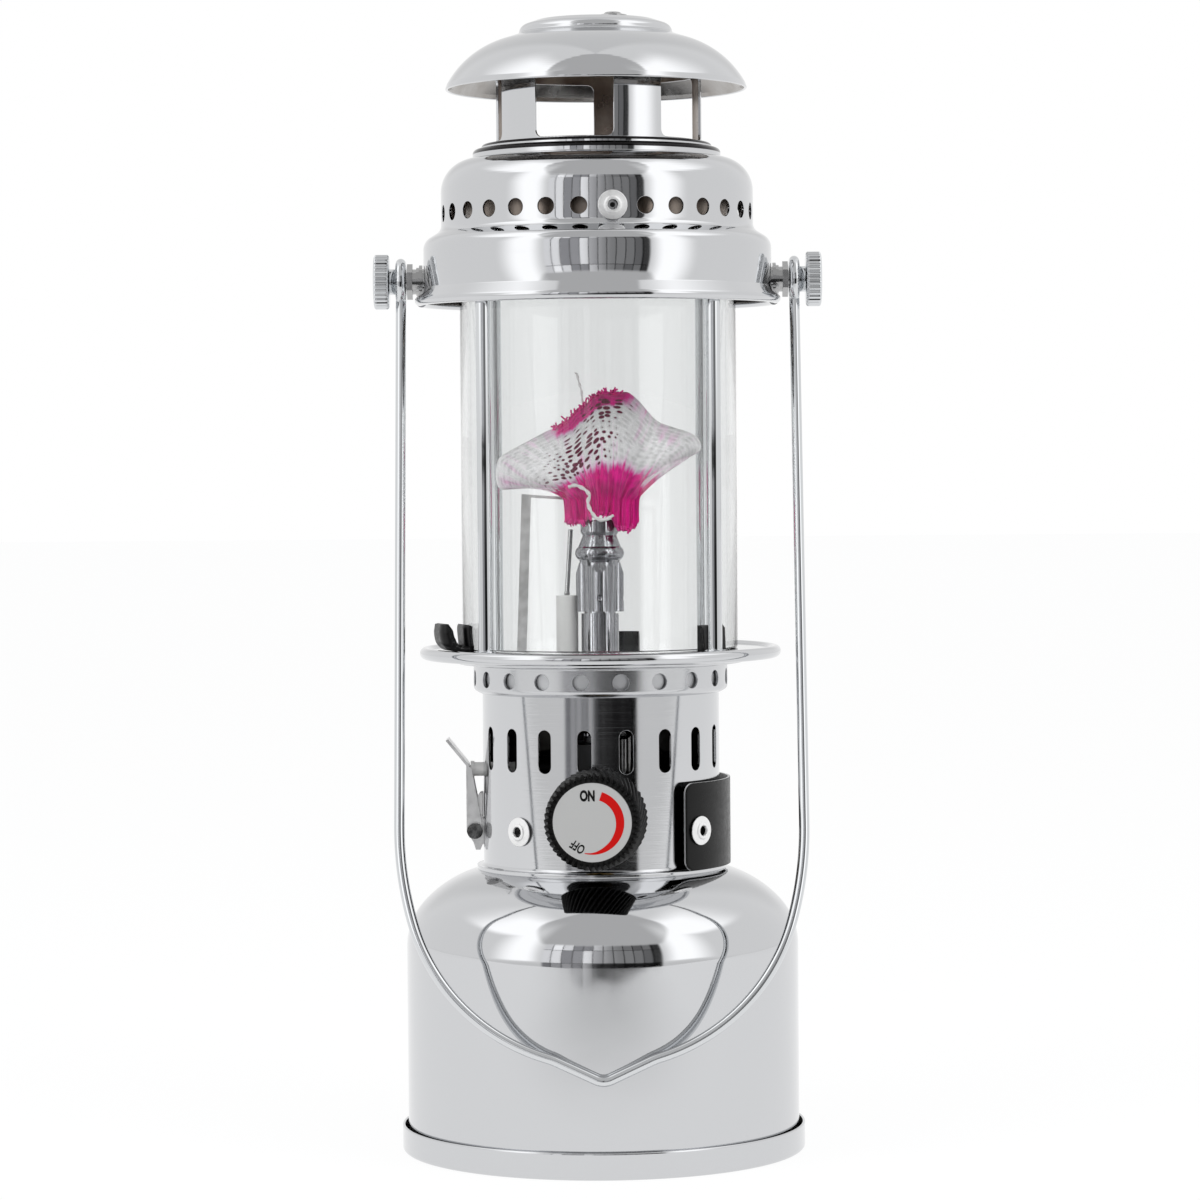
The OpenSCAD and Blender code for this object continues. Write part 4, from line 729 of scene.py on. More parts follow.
COLUMNS, GAP_STARTS, GAP_COLUMNS, NUDGE = 360, (85, 265), 11, 0.42
SLOT_HALF, PATCH_LOW, PATCH_HIGH = 4.0, 1.8, 6.2
step = SKIRT_R - TIER_R
ledge_z, arch_top = STUD_Z - PATCH_LOW, STUD_Z + PATCH_HIGH
band_low, band_high = TIER_Z + 0.3, DOME_Z - 1.8
hood = joined(
    eased(joined(arc(SKIRT_R + 1.2, LIP_Z + 1.5, 1.5, -150, 35, 16), [[SKIRT_R, ledge_z]]), 0.3),
    [[SKIRT_R, arch_top]],
    arc(SKIRT_R - 4, STUD_Z + 9.1, 4, 0, 55, 12),
    arc(TIER_R + step * 0.58, TIER_Z, step * 0.58, 235, 180, 10), [[TIER_R, band_low], [TIER_R, band_high]],
    eased(joined(
        arc(TIER_R - DOME_R, DOME_Z, DOME_R, 0, 80, 20), [[TIER_R - 9.3, DOME_Z + 9.7]],
        arc(TIER_R - 10.6, HOOD_TOP - 1.3, 1.3, 0, 90, 8), [[28.5, HOOD_TOP]],
    ), 0.15),
)
loop, marks = sheet_loop(hood)
# The hood's top step under the crown takes the dark chrome of painted shade
step_painted_shade = (marks == 0) & (loop[:, 1] > DOME_Z + 9.85) & (loop[:, 1] < HOOD_TOP - 0.05)
marks = np.where(step_painted_shade, 2, marks)
inner_ledge = loop[(marks == 1) & (np.abs(loop[:, 0] - SKIRT_R + SHEET) < 1e-4)][:, 1].min()
ledge_of = np.where(marks == 1, inner_ledge, ledge_z) + 1e-6
low_row = (loop[:, 1] <= ledge_of) & (loop[:, 0] > SKIRT_R - 2)
wall_row = (np.abs(loop[:, 0] - SKIRT_R + SHEET / 2) < SHEET / 2 + 1e-4) & (loop[:, 1] >= ledge_of - 1e-5)
wall_row &= loop[:, 1] <= arch_top + 1e-6
half_gap = math.radians(GAP_COLUMNS / 2 + NUDGE)
swing = np.zeros((len(loop), COLUMNS))
bare = np.zeros((len(loop), COLUMNS), bool)
bare[[stretch(loop, TIER_R, band_low, band_high), stretch(loop, TIER_R - SHEET, band_low, band_high)]] = True
for first in GAP_STARTS:
    edges = [first, first + GAP_COLUMNS]
    swing[np.ix_(low_row | wall_row, edges)] = [[-math.radians(NUDGE), math.radians(NUDGE)]]
    for kind in (low_row, wall_row):
        bare[np.ix_(kind & np.roll(kind, -1), np.arange(*edges))] = True
grids = [revolve(loop, COLUMNS, -0.5, marks, bare, swing)]
grids += pierced(
    TIER_R, band_low, band_high, VENTS, VENT_PHASE, round_hole(VENT_R), VENT_Z, COLUMNS, left_out=RIVET_CELLS
)


def patch_edge(half, rise):
    """An edge of the patch: up a straight side, over points of an arch and down the other side."""
    return np.concatenate([
        [[half, -PATCH_LOW], [half, -PATCH_LOW / 2]], rise, [[-half, -PATCH_LOW / 2], [-half, -PATCH_LOW]],
    ])


outer_rows = np.flatnonzero(low_row & (np.arange(len(loop)) < len(hood)))
inner_rows = len(hood) + 5 + len(hood) - 1 - outer_rows
span = np.radians(np.linspace(0, 180, 15))
rays = np.stack([np.cos(span), np.sin(span)], 1)
gap_half = half_gap * SKIRT_R
reach = np.minimum(gap_half / np.maximum(np.abs(rays[:, 0]), 1e-6), PATCH_HIGH / np.maximum(rays[:, 1], 1e-6))
arch = patch_edge(SLOT_HALF, SLOT_HALF * rays)
patch = np.stack([patch_edge(gap_half, rays * reach[:, None]), arch])
for middle in (math.pi / 2, -math.pi / 2):
    for side in (-1, 1):
        # Cut faces of the skirt's lower part, beside the gap
        a = middle + side * half_gap
        strip = np.stack([loop[outer_rows], loop[inner_rows]])
        v = turned(strip[..., 0], strip[..., 1], a).reshape(-1, 3)
        q = sheet_of(np.arange(len(v)).reshape(2, -1))[:, ::side]
        out = np.tile([[-side * math.cos(a), -side * math.sin(a), 0]], (len(v), 1))
        grids.append((v, [q], out, None))
    for r, sign, ledge in ((SKIRT_R, 1, ledge_z), (SKIRT_R - SHEET, -1, inner_ledge)):
        z = np.where(patch[..., 1] <= -PATCH_LOW, ledge, STUD_Z + patch[..., 1])
        grids.append(wall_patch(r, z, middle + patch[..., 0] / SKIRT_R, sign))
    # The slot's cut edge, and the narrow ledges between it and the gap
    a = middle + arch[None, :, 0] / SKIRT_R
    z = np.stack([np.where(arch[:, 1] <= -PATCH_LOW, d, STUD_Z + arch[:, 1]) for d in (ledge_z, inner_ledge)])
    v = turned(np.array([[SKIRT_R], [SKIRT_R - SHEET]]), z, a).reshape(-1, 3)
    facing = -arch / np.linalg.norm(arch, axis=1)[:, None]
    n = np.stack([np.cos(a[0]) * facing[:, 0], np.sin(a[0]) * facing[:, 0], facing[:, 1]], 1)
    grids.append((v, [sheet_of(np.arange(len(v)).reshape(2, -1))], np.tile(n, (2, 1)), None))
    for ends in ((SLOT_HALF, gap_half), (-gap_half, -SLOT_HALF)):
        r, z = np.array([[SKIRT_R - SHEET], [SKIRT_R]]), np.array([[inner_ledge], [ledge_z]])
        v = turned(r, z, middle + np.array([ends, ends]) / SKIRT_R).reshape(-1, 3)
        grids.append((v, [sheet_of(np.arange(4).reshape(2, 2))], np.tile([[0, 0, -1.0]], (4, 1)), None))
build("hood_shell_looks", grids, (CHROME, SATIN, DARK_CHROME_PAINTED_SHADE), "hood", ("hood_shell",))

# Crown and cap

cap_centre = (
    43.2 - CAP_ARC_R * math.cos(math.radians(29)), CAP_RIM + 1.2 - CAP_ARC_R * math.sin(math.radians(29))
)
BOSS_Z = cap_centre[1] + CAP_ARC_R * math.sin(math.radians(75)) + 0.8
k = np.linspace(3, 0, 10)
cap_face = joined(
    [[43.6, CAP_RIM]], arc(*cap_centre, CAP_ARC_R, 29, 75, 30),
    [[23.1, BOSS_Z + 0.3]], arc(19.6, BOSS_Z + 0.9, 2.6, 0, 68, 10),
    np.stack([5.772 * k, BOSS_Z + 5.6 - 0.13 * k * k], 1),
)
pressing("cap", eased(cap_face, 0.15), "hood", columns=256, finishes=(CHROME, SATIN))
nested = moved(cap_face, SHEET + 0.1)
nested = nested[nested[:, 0] < 28]
nested[-1, 0] = 0
window_low, window_high = HOOD_TOP + 1.75, WINDOW_Z + WINDOW_H + 1.4
window_h = WINDOW_Z + WINDOW_H - window_low - 0.1
flange = joined(
    [[CROWN_R + 2.8, HOOD_TOP]], arc(CROWN_R + 2.1, HOOD_TOP + 0.7, 0.7, 0, 90, 8),
    arc(CROWN_R + 0.3, HOOD_TOP + 1.7, 0.3, 270, 180, 6), [[CROWN_R, window_low]],
)
crown = joined(
    eased(flange, 0.1), [[CROWN_R, window_high]], arc(CROWN_R - 2, nested[0, 1] - 3.6, 2, 0, 60, 8), nested
)
# The crown's foot takes the dark chrome of painted shade as its third finish
pressing(
    "crown", crown, "hood", columns=WINDOWS * 36, replaced=("crown_cup", "crown_plate"),
    finishes=(CHROME, HEATED, DARK_CHROME_PAINTED_SHADE), foot=(HOOD_TOP + 0.1, HOOD_TOP + 1.5), band=(
        CROWN_R, window_low, window_high, WINDOWS, WINDOW_PHASE, round_slot(WINDOW_W, window_h, 2),
        window_low + 0.1 + window_h / 2, (),
    ),
)


# Wire, string and turned pieces


def tube(centre, radius, sides=24, closed=False, ref=(0, 1.0, 0), ply=0.0):
    """A round tube along a centreline, as build takes it.

    Each ring is centre + r (cos b across + sin b up), where across is ref crossed with the tangent.
    ply twists two strands into it: r grows by that share twice a turn, and turns along the tube.
    """
    d = np.roll(centre, -1, 0) - np.roll(centre, 1, 0)
    if not closed:
        d[0], d[-1] = centre[1] - centre[0], centre[-1] - centre[-2]
    d /= np.linalg.norm(d, axis=1)[:, None]
    across = np.cross(np.array(ref), d)
    across /= np.linalg.norm(across, axis=1)[:, None]
    up = np.cross(d, across)
    b = np.linspace(0, 2 * np.pi, sides, endpoint=False)
    normals = across[:, None] * np.cos(b)[None, :, None] + up[:, None] * np.sin(b)[None, :, None]
    run = np.concatenate([[0], np.cumsum(np.linalg.norm(np.diff(centre, axis=0), axis=1))])
    size = radius * (1 + ply * np.cos(2 * b[None, :] - 2.6 * run[:, None]))
    verts = centre[:, None] + size[..., None] * normals
    index = np.arange(len(centre) * sides).reshape(len(centre), sides)
    faces = [sheet_of(index, wrap_rows=closed, wrap_columns=True)]
    verts, normals = verts.reshape(-1, 3), normals.reshape(-1, 3)
    if not closed:
        verts = np.vstack([verts, centre[:1] - d[:1] * radius * 0.4, centre[-1:] + d[-1:] * radius * 0.4])
        normals = np.vstack([normals, -d[:1], d[-1:]])
        tips = [np.full(sides, len(verts) - 2), np.full(sides, len(verts) - 1)]
        faces.append(np.stack([np.roll(index[0], -1), index[0], tips[0]], 1))
        faces.append(np.stack([index[-1], np.roll(index[-1], -1), tips[1]], 1))
    return verts, faces, normals, None


def bail_line():
    """The bail's line and its length from the eyes to the V.

    Each half is a straight arm, two bends, a reverse bend, a flank and the tip.
    """
    r_1, r_2, r_3, tip_r = 100, 56, 20, 5
    first, second, flank = math.radians(16), math.radians(73), math.radians(65)
    bend_1 = np.array([BAIL_X - r_1, -159.9])
    bend_2 = bend_1 + (r_1 - r_2) * np.array([math.cos(first), -math.sin(first)])
    bend_3 = bend_2 + (r_2 + r_3) * np.array([math.cos(second), -math.sin(second)])
    steep = np.array([math.cos(flank), math.sin(flank)])
    top = bend_3 + r_3 * np.array([-steep[0], steep[1]])
    run = (top[0] - tip_r * steep[0]) / steep[1]
    low = top - run * np.array([steep[1], steep[0]])
    tip = low + tip_r * np.array([-steep[0], steep[1]])
    half = joined(
        np.stack([np.full(24, BAIL_X), np.linspace(-EYE_R, -159, 24)], 1), arc(*bend_1, r_1, 0, -16, 20),
        arc(*bend_2, r_2, -16, -73, 40), arc(*bend_3, r_3, 107, 115, 6), [low + (top - low) * 0.1],
        arc(*tip, tip_r, -65, -90, 8),
    )
    return joined(half, half[::-1] * [-1, 1]), -(tip[1] - tip_r)


line, bail_len = bail_line()
lean = math.asin((DRUM_R + WIRE_R + 0.3) / bail_len)
grids = [tube(np.stack([line[:, 0], 0 * line[:, 0], line[:, 1]], 1), WIRE_R)]
turn = np.linspace(0, 2 * np.pi, 64, endpoint=False)
for side in (-BAIL_X, BAIL_X):
    eye = np.stack([side + 0 * turn, EYE_R * np.cos(turn), EYE_R * np.sin(turn)], 1)
    grids.append(tube(eye, WIRE_R, closed=True, ref=(1.0, 0, 0)))
spin = np.array([[1, 0, 0], [0, math.cos(lean), math.sin(lean)], [0, -math.sin(lean), math.cos(lean)]])
grids = [(v @ spin.T + [0, 0, STUD_Z], f, n @ spin.T, m) for v, f, n, m in grids]
build("bail_looks", grids, (WIRE,), "bail", ("bail",))


def knurled(profile, columns, teeth, depth, slant=0.0):
    """A turned piece about its own axis: (r cos b, r sin b, h), with teeth where depth is not 0.

    r = profile radius - depth (1 - cos(teeth b + slant h)) / 2, squared off a little.
    """
    b = np.linspace(0, 2 * np.pi, columns, endpoint=False)[None, :]
    wave = np.cos(teeth * b + slant * profile[:, 1:])
    wave = np.tanh(1.6 * wave) / math.tanh(1.6)
    r = profile[:, :1] - depth[:, None] * (1 - wave) / 2
    verts = np.stack([r * np.cos(b), r * np.sin(b), profile[:, 1:] + 0 * r], -1).reshape(-1, 3)
    index = np.arange(r.size).reshape(r.shape)
    pole = profile[:, 0] < 1e-6
    index[pole] = index[pole][:, :1]
    quads = sheet_of(index, wrap_columns=True).reshape(len(profile) - 1, columns, 4)
    first, last = pole[:-1], pole[1:]
    faces = [quads[~first & ~last].reshape(-1, 4)]
    faces += [quads[first][:, :, [0, 2, 3]].reshape(-1, 3), quads[last][:, :, [0, 1, 2]].reshape(-1, 3)]
    return verts, [f for f in faces if len(f)]


def set_at(verts, origin, across, up):
    """Puts a piece drawn along +Z in its place: its axis becomes across x up."""
    across, up = np.array(across, float), np.array(up, float)
    return verts @ np.stack([across, up, np.cross(across, up)]) + np.array(origin, float)


# Knob: a cone with a slanted rope knurl, its dial sunk in the front

KNOB_TEETH, KNOB_DEPTH, DIAL_R, DIAL_SUNK, INK_H = 48, 15.3, 11.1, 0.2, 0.04
yaw = math.radians(6)
knob_at = (2.7, 0, KNOB_Z)
knob_right = (math.cos(yaw), -math.sin(yaw), 0)
back, front = HOUSING_R + 1.8, HOUSING_R + 1.8 + KNOB_DEPTH
flank = np.stack([np.linspace(14.35, 13.75, 26), np.linspace(back + 1.4, front - 1.3, 26)], 1)
knob = joined(
    [[3.1, back + 0.4], [11.6, back + 0.4], [12.6, back], [13.4, back + 0.2], [14.1, back + 0.7]], flank,
    [[13.7, front - 0.7], [13.55, front - 0.3], [13.2, front - 0.05], [12.6, front], [12.4, front]],
    [[11.45, front], [11.2, front - 0.15], [11.12, front - 0.7], [3.1, front - 0.7]],
)
grip = np.clip(np.minimum((knob[:, 1] - back - 0.1) / 1.2, (front + 0.5 - knob[:, 1]) / 0.6), 0, 1)
grip *= knob[:, 0] > 12.45
verts, faces = knurled(knob, KNOB_TEETH * 12, KNOB_TEETH, 1.5 * grip, 1.15)
placed = set_at(verts, knob_at, knob_right, (0, 0, 1))
build("control_knob_looks", [(placed, faces, None, None)], (ABS,), "knob", ("control_knob",), shaded=False)


def printed(name, points, faces, ink):
    """A flat print on the dial, its points in millimetres from the dial's centre. It turns with the knob."""
    flat = np.column_stack([points, np.full(len(points), front - DIAL_SUNK + INK_H)])
    mesh = bpy.data.meshes.new(name)
    mesh.from_pydata((set_at(flat, knob_at, knob_right, (0, 0, 1)) * MM).tolist(), [], faces)
    mesh.materials.append(ink)
    made = bpy.data.objects.new(name, mesh)
    bpy.context.collection.objects.link(made)
    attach(made, "knob")


def printed_word(word, height, share, angle, turn, narrow, weight):
    """A word in the program's own plain font, as a flat mesh: narrowed, thickened by a weight and turned.

    It stands at a share of the dial's radius, at an angle from the top, clockwise.
    """
    curve = bpy.data.curves.new(word, "FONT")
    curve.body = word
    curve.align_x = curve.align_y = "CENTER"
    curve.offset = weight
    holder = bpy.data.objects.new(word, curve)
    bpy.context.collection.objects.link(holder)
    bpy.context.view_layer.update()
    mesh = holder.evaluated_get(bpy.context.evaluated_depsgraph_get()).to_mesh()
    points = np.empty(len(mesh.vertices) * 3)
    mesh.vertices.foreach_get("co", points)
    # A capital of the font is 0.7 of its size
    points = points.reshape(-1, 3)[:, :2] * [height / 0.7 * narrow, height / 0.7]
    faces = [list(p.vertices) for p in mesh.polygons]
    bpy.data.objects.remove(holder)
    c, s = math.cos(math.radians(turn)), math.sin(math.radians(turn))
    away = math.radians(angle)
    place = DIAL_R * share * np.array([math.sin(away), math.cos(away)])
    printed("dial_word_" + word.lower(), points @ np.array([[c, s], [-s, c]]) + place, faces, BLACK_INK)


printed_word("ON", 2.8, 0.67, -10, 0, 0.66, 0.05)
printed_word("OFF", 2.5, 0.71, 211.5, 148, 0.66, 0.025)
# A crescent that widens from a point at the end of its sweep to its blunt start
sweep = np.radians(np.linspace(18, 194, 60))
inner_edge = np.interp(np.degrees(sweep), [18, 90, 120, 153, 180, 194], [0.585, 0.6, 0.62, 0.68, 0.765, 0.79])
outward = np.stack([np.sin(sweep), np.cos(sweep)], 1) * DIAL_R
crescent = np.concatenate([outward * inner_edge[:, None], outward * 0.81])
faces = sheet_of(np.arange(len(crescent)).reshape(2, -1))[:, ::-1]
printed("dial_crescent", crescent, faces.tolist(), RED_INK)

# Thumb nuts: a hub, and a head with straight ridges round its rim

RIDGES = 32
nut = joined(
    [[2.6, 55.5], [3.4, 55.5], [3.7, 55.8], [3.7, 60.2], [3.9, 60.4], [7.2, 60.4], [7.7, 60.6]],
    np.stack([np.full(8, 7.9), np.linspace(60.9, 64.3, 8)], 1),
    [[7.7, 64.6], [7.2, 64.8], [3.0, 64.8], [2.6, 64.6], [2.55, 60.0]],
)
grip = np.where(nut[:, 0] > 7.5, 0.5, np.where(nut[:, 0] > 7.1, 0.15, 0.0))
verts, faces = knurled(nut, RIDGES * 10, RIDGES, grip)
for name, across in (("left", (0, -1, 0)), ("right", (0, 1, 0))):
    placed = [(set_at(verts, (0, 0, STUD_Z), across, (0, 0, 1)), faces, None, None)]
    nut_name = "thumb_nut_" + name
    build(nut_name + "_looks", placed, (WIRE,), "nut_" + name, (nut_name,), shaded=False)

# Blind rivets: a broad domed head, a raised ring and a deep pit with the broken stem in it, the pit painted
# black as painted shade


def rivet_heads(name, places, body, finish):
    """Rivet heads at (origin, across, up, seat), where seat is how far the head sits along its axis."""
    pit = joined(arc(1.85, 0.9, 0.4, 60, 165, 6), [[1.35, 0.55], [1.3, -0.7], [0.75, -0.8]])
    head = joined(
        [[0, -1.9], [2.0, -1.9], [2.0, 0.02], [4.0, 0.02]], arc(3.9, 0.28, 0.26, -90, 50, 5),
        [[3.1, 0.7], [2.55, 0.86], [2.35, 1.1]], pit, [[0.75, -0.3], [0.45, -0.15], [0, -0.15]],
    )
    head = eased(head, 0.06)
    # The pit and the stem's end take black oxide: painted shade in the hollow
    dark = (head[:, 0] < 1.42) & (head[:, 1] > -1.0) & (head[:, 1] < 0.62)
    verts, faces = knurled(head, 64, 0, np.zeros(len(head)))
    marks = np.repeat(dark.astype(int), 64)
    heads = [set_at(verts + [0, 0, seat], origin, across, up) for origin, across, up, seat in places]
    grids = [(placed, faces, None, marks) for placed in heads]
    build(name + "_looks", grids, (finish, OXIDE), body, (name,), shaded=False)


def around(angle, z, seat):
    """A place on a wall at an angle from the front, facing out."""
    a = math.radians(angle)
    return (0, 0, z), (math.cos(a), math.sin(a), 0), (0, 0, 1), seat


hood_places = [around(VENT_PHASE + 360 / VENTS * cell, VENT_Z, TIER_R + 0.28) for cell in RIVET_CELLS]
rivet_heads("hood_rivets", hood_places, "hood", RIVET)
rivet_heads("housing_rivets", [around(a, RIVET_Z, HOUSING_R + 0.3) for a in (-42.5, -137.5)], "lamp", RIVET)
rivet_heads("nameplate_rivets", [around(a, RIVET_Z, PLATE_R + 0.15) for a in (48.5, 127)], "lamp", RIVET)
rivet_heads("cap_rivet", [((5, 0, 0), (1, 0, 0), (0, 1, 0), BOSS_Z + 5.6)], "hood", ZINC)

# Nameplate: a bare black plate bent round the housing, its cut edge bright


def bent_plate(name, a0, a1, z0, z1, radius, t, corner, finishes, replaced=()):
    """A plate on a cylinder: rings that shrink from a rounded outline to its middle, on both faces."""
    outline = finely(round_slot(math.radians(a1 - a0) * radius, z1 - z0, corner, 10), 1.0)
    rings = [(s, radius, 0) for s in (0.0, 0.2, 0.4, 0.6, 0.8, 0.97)]
    rings += [(1.0, radius - 0.02, 0), (1.0, radius - 0.1, 1), (1.0, radius - t + 0.1, 1)]
    rings += [(s, radius - t, 0) for s in (0.99, 0.5, 0.0)]
    verts = []
    for s, r, _ in rings:
        a = math.radians((a0 + a1) / 2) + s * outline[:, 0] / radius
        verts.append(turned(r, (z0 + z1) / 2 + s * outline[:, 1], a))
    index = np.arange(len(rings) * len(outline)).reshape(len(rings), -1)
    index[0], index[-1] = index[0, 0], index[-1, 0]
    quads = sheet_of(index, wrap_columns=True).reshape(len(rings) - 1, -1, 4)
    faces = [quads[1:-1].reshape(-1, 4)[:, ::-1], quads[0][:, [0, 3, 2]], quads[-1][:, [0, 2, 1]]]
    marks = np.repeat([mark for _, _, mark in rings], len(outline))
    grids = [(np.concatenate(verts), faces, None, marks)]
    build(name + "_looks", grids, finishes, "lamp", replaced, shaded=False)


bent_plate(
    "nameplate", 39.5, 136, DRUM_TOP + 1, DRUM_TOP + 26, PLATE_R, SHEET, 3, (PAINT, RIVET), ("nameplate",)
)
# A dull sheet behind the rear slots stands in for the shade inside the housing, so that the front ones look
# dark and not through
bent_plate("slot_shade_sheet", 95, 265, SLOT_Z - 9.5, SLOT_Z + 9.5, HOUSING_R - 1.2, 0.4, 1, (INSIDE, INSIDE))

# Mantle: a knit sock tied round the holder, crumpled flat and drawn out to both sides

# Half its width, and the heights over the holder's top of its upper and lower outline, by half widths
HALF = 29.5
UPPER = np.array([
    [-1, 17.5], [-0.58, 23.8], [-0.34, 27], [-0.17, 31], [0, 35.4], [0.26, 35.8], [0.4, 33], [0.58, 27],
    [0.93, 23.8], [1, 22],
])
LOWER = np.array([
    [-1, 8.4], [-0.5, 9.5], [-0.33, 7.2], [-0.25, 1.1], [0.33, 1.1], [0.42, 10.4], [0.63, 14.9], [1, 18.5],
])
# The hem's height over the holder's top, from the left to the right
HEM = np.array([
    [-10, -0.4], [-5.6, -0.8], [-4, 0.7], [0, 1.5], [3.6, 1.1], [4.8, -2.4], [9, -2.9], [10.4, -0.6],
])
STITCHES = 62


def spread_out(path, n):
    """n points at even steps along a path, its corners rounded by a running mean."""
    run = np.concatenate([[0], np.cumsum(np.linalg.norm(np.diff(path, axis=0), axis=1))])
    s = np.linspace(0, run[-1], n)
    p = np.stack([np.interp(s, run, path[:, 0]), np.interp(s, run, path[:, 1])], 1)
    pad = np.concatenate([np.repeat(p[:1], 6, 0), p, np.repeat(p[-1:], 6, 0)])
    return np.stack([np.convolve(pad[:, i], np.ones(13) / 13, "valid") for i in (0, 1)], 1)


def mantle_rings(n=720):
    """Rings of the mantle from its middle under the tie, down inside the skirt, up outside, to the seam.

    The front half of each ring (phase 0 to pi) runs from the left to the right, the back half returns.
    Above the tie a ring goes from the neck n to the outline o by (1-v)^2 n + 2v(1-v) c + v^2 o.
    """
    phase = 2 * np.pi * np.arange(n) / n
    along = np.where(phase <= np.pi, phase, 2 * np.pi - phase) / np.pi
    face = np.where(phase <= np.pi, -1.0, 1.0)
    outline = np.concatenate([
        [[-0.45 * HALF, 9.6], [-0.5 * HALF, 9.2]], [[-HALF, 8.4], [-HALF - 0.6, 12.5]], UPPER * [HALF, 1],
        [[HALF + 0.6, 20.2], [HALF, 18.5], [0.63 * HALF, 14.9], [0.46 * HALF, 12.2]],
    ])
    o = spread_out(outline, n // 2 + 1)[np.where(phase <= np.pi, np.arange(n), n - np.arange(n))]
    wild = 1.3 * np.sin(11 * phase + 2 * np.sin(3 * phase))
    wild += 0.9 * np.sin(23 * phase + 1) + 0.5 * np.sin(41 * phase)
    pleat = np.sin(34 * phase + 1.4 * np.sin(5 * phase))
    fine = np.sin(88 * phase + 2 * np.sin(7 * phase))
    rings, weave, slack, dye = [], [], [], []

    def ring(points, v, open_share, colour):
        rings.append(points)
        stitch = phase * STITCHES / (2 * np.pi) + 0.35 * np.sin(9 * phase + 5 * v)
        weave.append(np.stack([stitch, 1.5 * v + 14.5 * v * v + 0.4 * np.sin(7 * phase), 0 * phase], 1))
        slack.append(open_share + 0 * phase)
        dye.append(colour + 0 * phase)

    def skirt(radius, z, v):
        x, y = -radius * np.cos(phase), -radius * 0.8 * np.sin(phase)
        ring(np.stack([x + 0.5, y, HOLDER_TOP + z], 1), v, -1.0, 1.0)

    gather = np.sin(19 * phase + 1.1 * np.sin(4 * phase)) + 0.35 * np.sin(47 * phase + 2)
    hem = np.interp(-10.5 * np.cos(phase), *HEM.T) - 0.28 * wild
    for radius in (0.02, 6.62):
        skirt(radius + 0 * phase, 6.0 + 0 * phase, -0.1)
    for s in np.linspace(0, 1, 8):
        skirt(7.2 + 1.2 * s + 0.3 * gather * s, 5.4 + (hem - 5.4) * s, -0.3 * s)
    for s in np.linspace(1, 0, 18):
        swell = 10.3 - 1.1 * s + 0.5 * s * s + (0.55 + 0.4 * s) * gather + 0.22 * fine
        skirt(swell - 0.5 * (s == 1), 5.4 + (hem - 5.4) * s - 0.2 * (s == 1), -0.3 * s)
    neck = np.stack([-(10.3 + 0.55 * gather + 0.22 * fine) * np.cos(phase) + 0.5, np.full(n, 5.4)], 1)
    control = neck + np.stack([0.3 * (o - neck)[:, 0], np.maximum(0.42 * (o - neck)[:, 1], 4.5)], 1)
    top_tip = np.exp(-(((o[:, 0] + 2) / 11) ** 2)) * (o[:, 1] > 24)
    for v in np.linspace(0.02, 1, 90):
        p = (1 - v) ** 2 * neck + 2 * v * (1 - v) * control + v * v * o
        # Depth: fullest in the middle of the outline and thin at its edge, and round at the neck
        t = np.clip(p[:, 0] / HALF, -1, 1)
        up, low = np.interp(t, *UPPER.T), np.interp(t, *LOWER.T)
        q = np.clip((p[:, 1] - (up + low) / 2) / ((up - low) / 2), -1, 1)
        deep = (2.6 + 11.5 * np.exp(-(((t - 0.05) / 0.42) ** 2))) * np.sqrt(np.maximum(1 - q * q, 0.02))
        held = np.clip(v / 0.22, 0, 1) ** 2 * (3 - 2 * np.clip(v / 0.22, 0, 1))
        round_neck = (10.3 * 0.8 + 0.8 * (0.55 * gather + 0.22 * fine)) * np.abs(np.sin(phase))
        y = (1 - held) * round_neck + held * deep * math.sqrt(max(1 - v**8, 0))
        fold = (0.8 * gather + 0.25 * pleat) * held * (1 - v) ** 1.5
        fold += 1.2 * np.sin(13 * phase + 9 * v) * v * (1 - v)
        crumple = 0.5 * np.sin(5 * phase + 7 * v + 1.5 * np.sin(9 * v)) * v * (1 - v**4)
        y = face * (y + (fold + crumple) * (1 - v**6) * np.abs(np.sin(phase)) ** 0.3)
        ragged = np.stack([0 * phase, 0.45 * wild * top_tip * v**12], 1)
        # Stitches stand open in the middle, where the knit paints the shade of the inside, and closed along
        # one fold; the dye fades up from the hem
        middle = np.exp(-(((p[:, 0] + 4 - 0.5 * (p[:, 1] - 20)) / 10) ** 2))
        open_share = np.clip((v - 0.24) / 0.2, 0, 1) * np.clip((0.99 - v) / 0.06, 0, 1) * 0.56 * middle - 0.36
        open_share = open_share - 0.3 * np.exp(-(((p[:, 1] - 26.5 - 0.12 * p[:, 0]) / 1.5) ** 2))
        side = np.clip((p[:, 0] - 4) / 14, 0, 1) * np.clip(1.6 - v * 1.3, 0, 1)
        colour = np.clip(1.32 - v / (0.34 + 0.16 * side), 0, 1) + top_tip * np.clip((v - 0.86) / 0.07, 0, 1)
        ring(np.stack([p[:, 0], y, HOLDER_TOP + p[:, 1] + ragged[:, 1]], 1), v, open_share, colour)
    return [np.stack(x) for x in (rings, weave, slack, dye)]


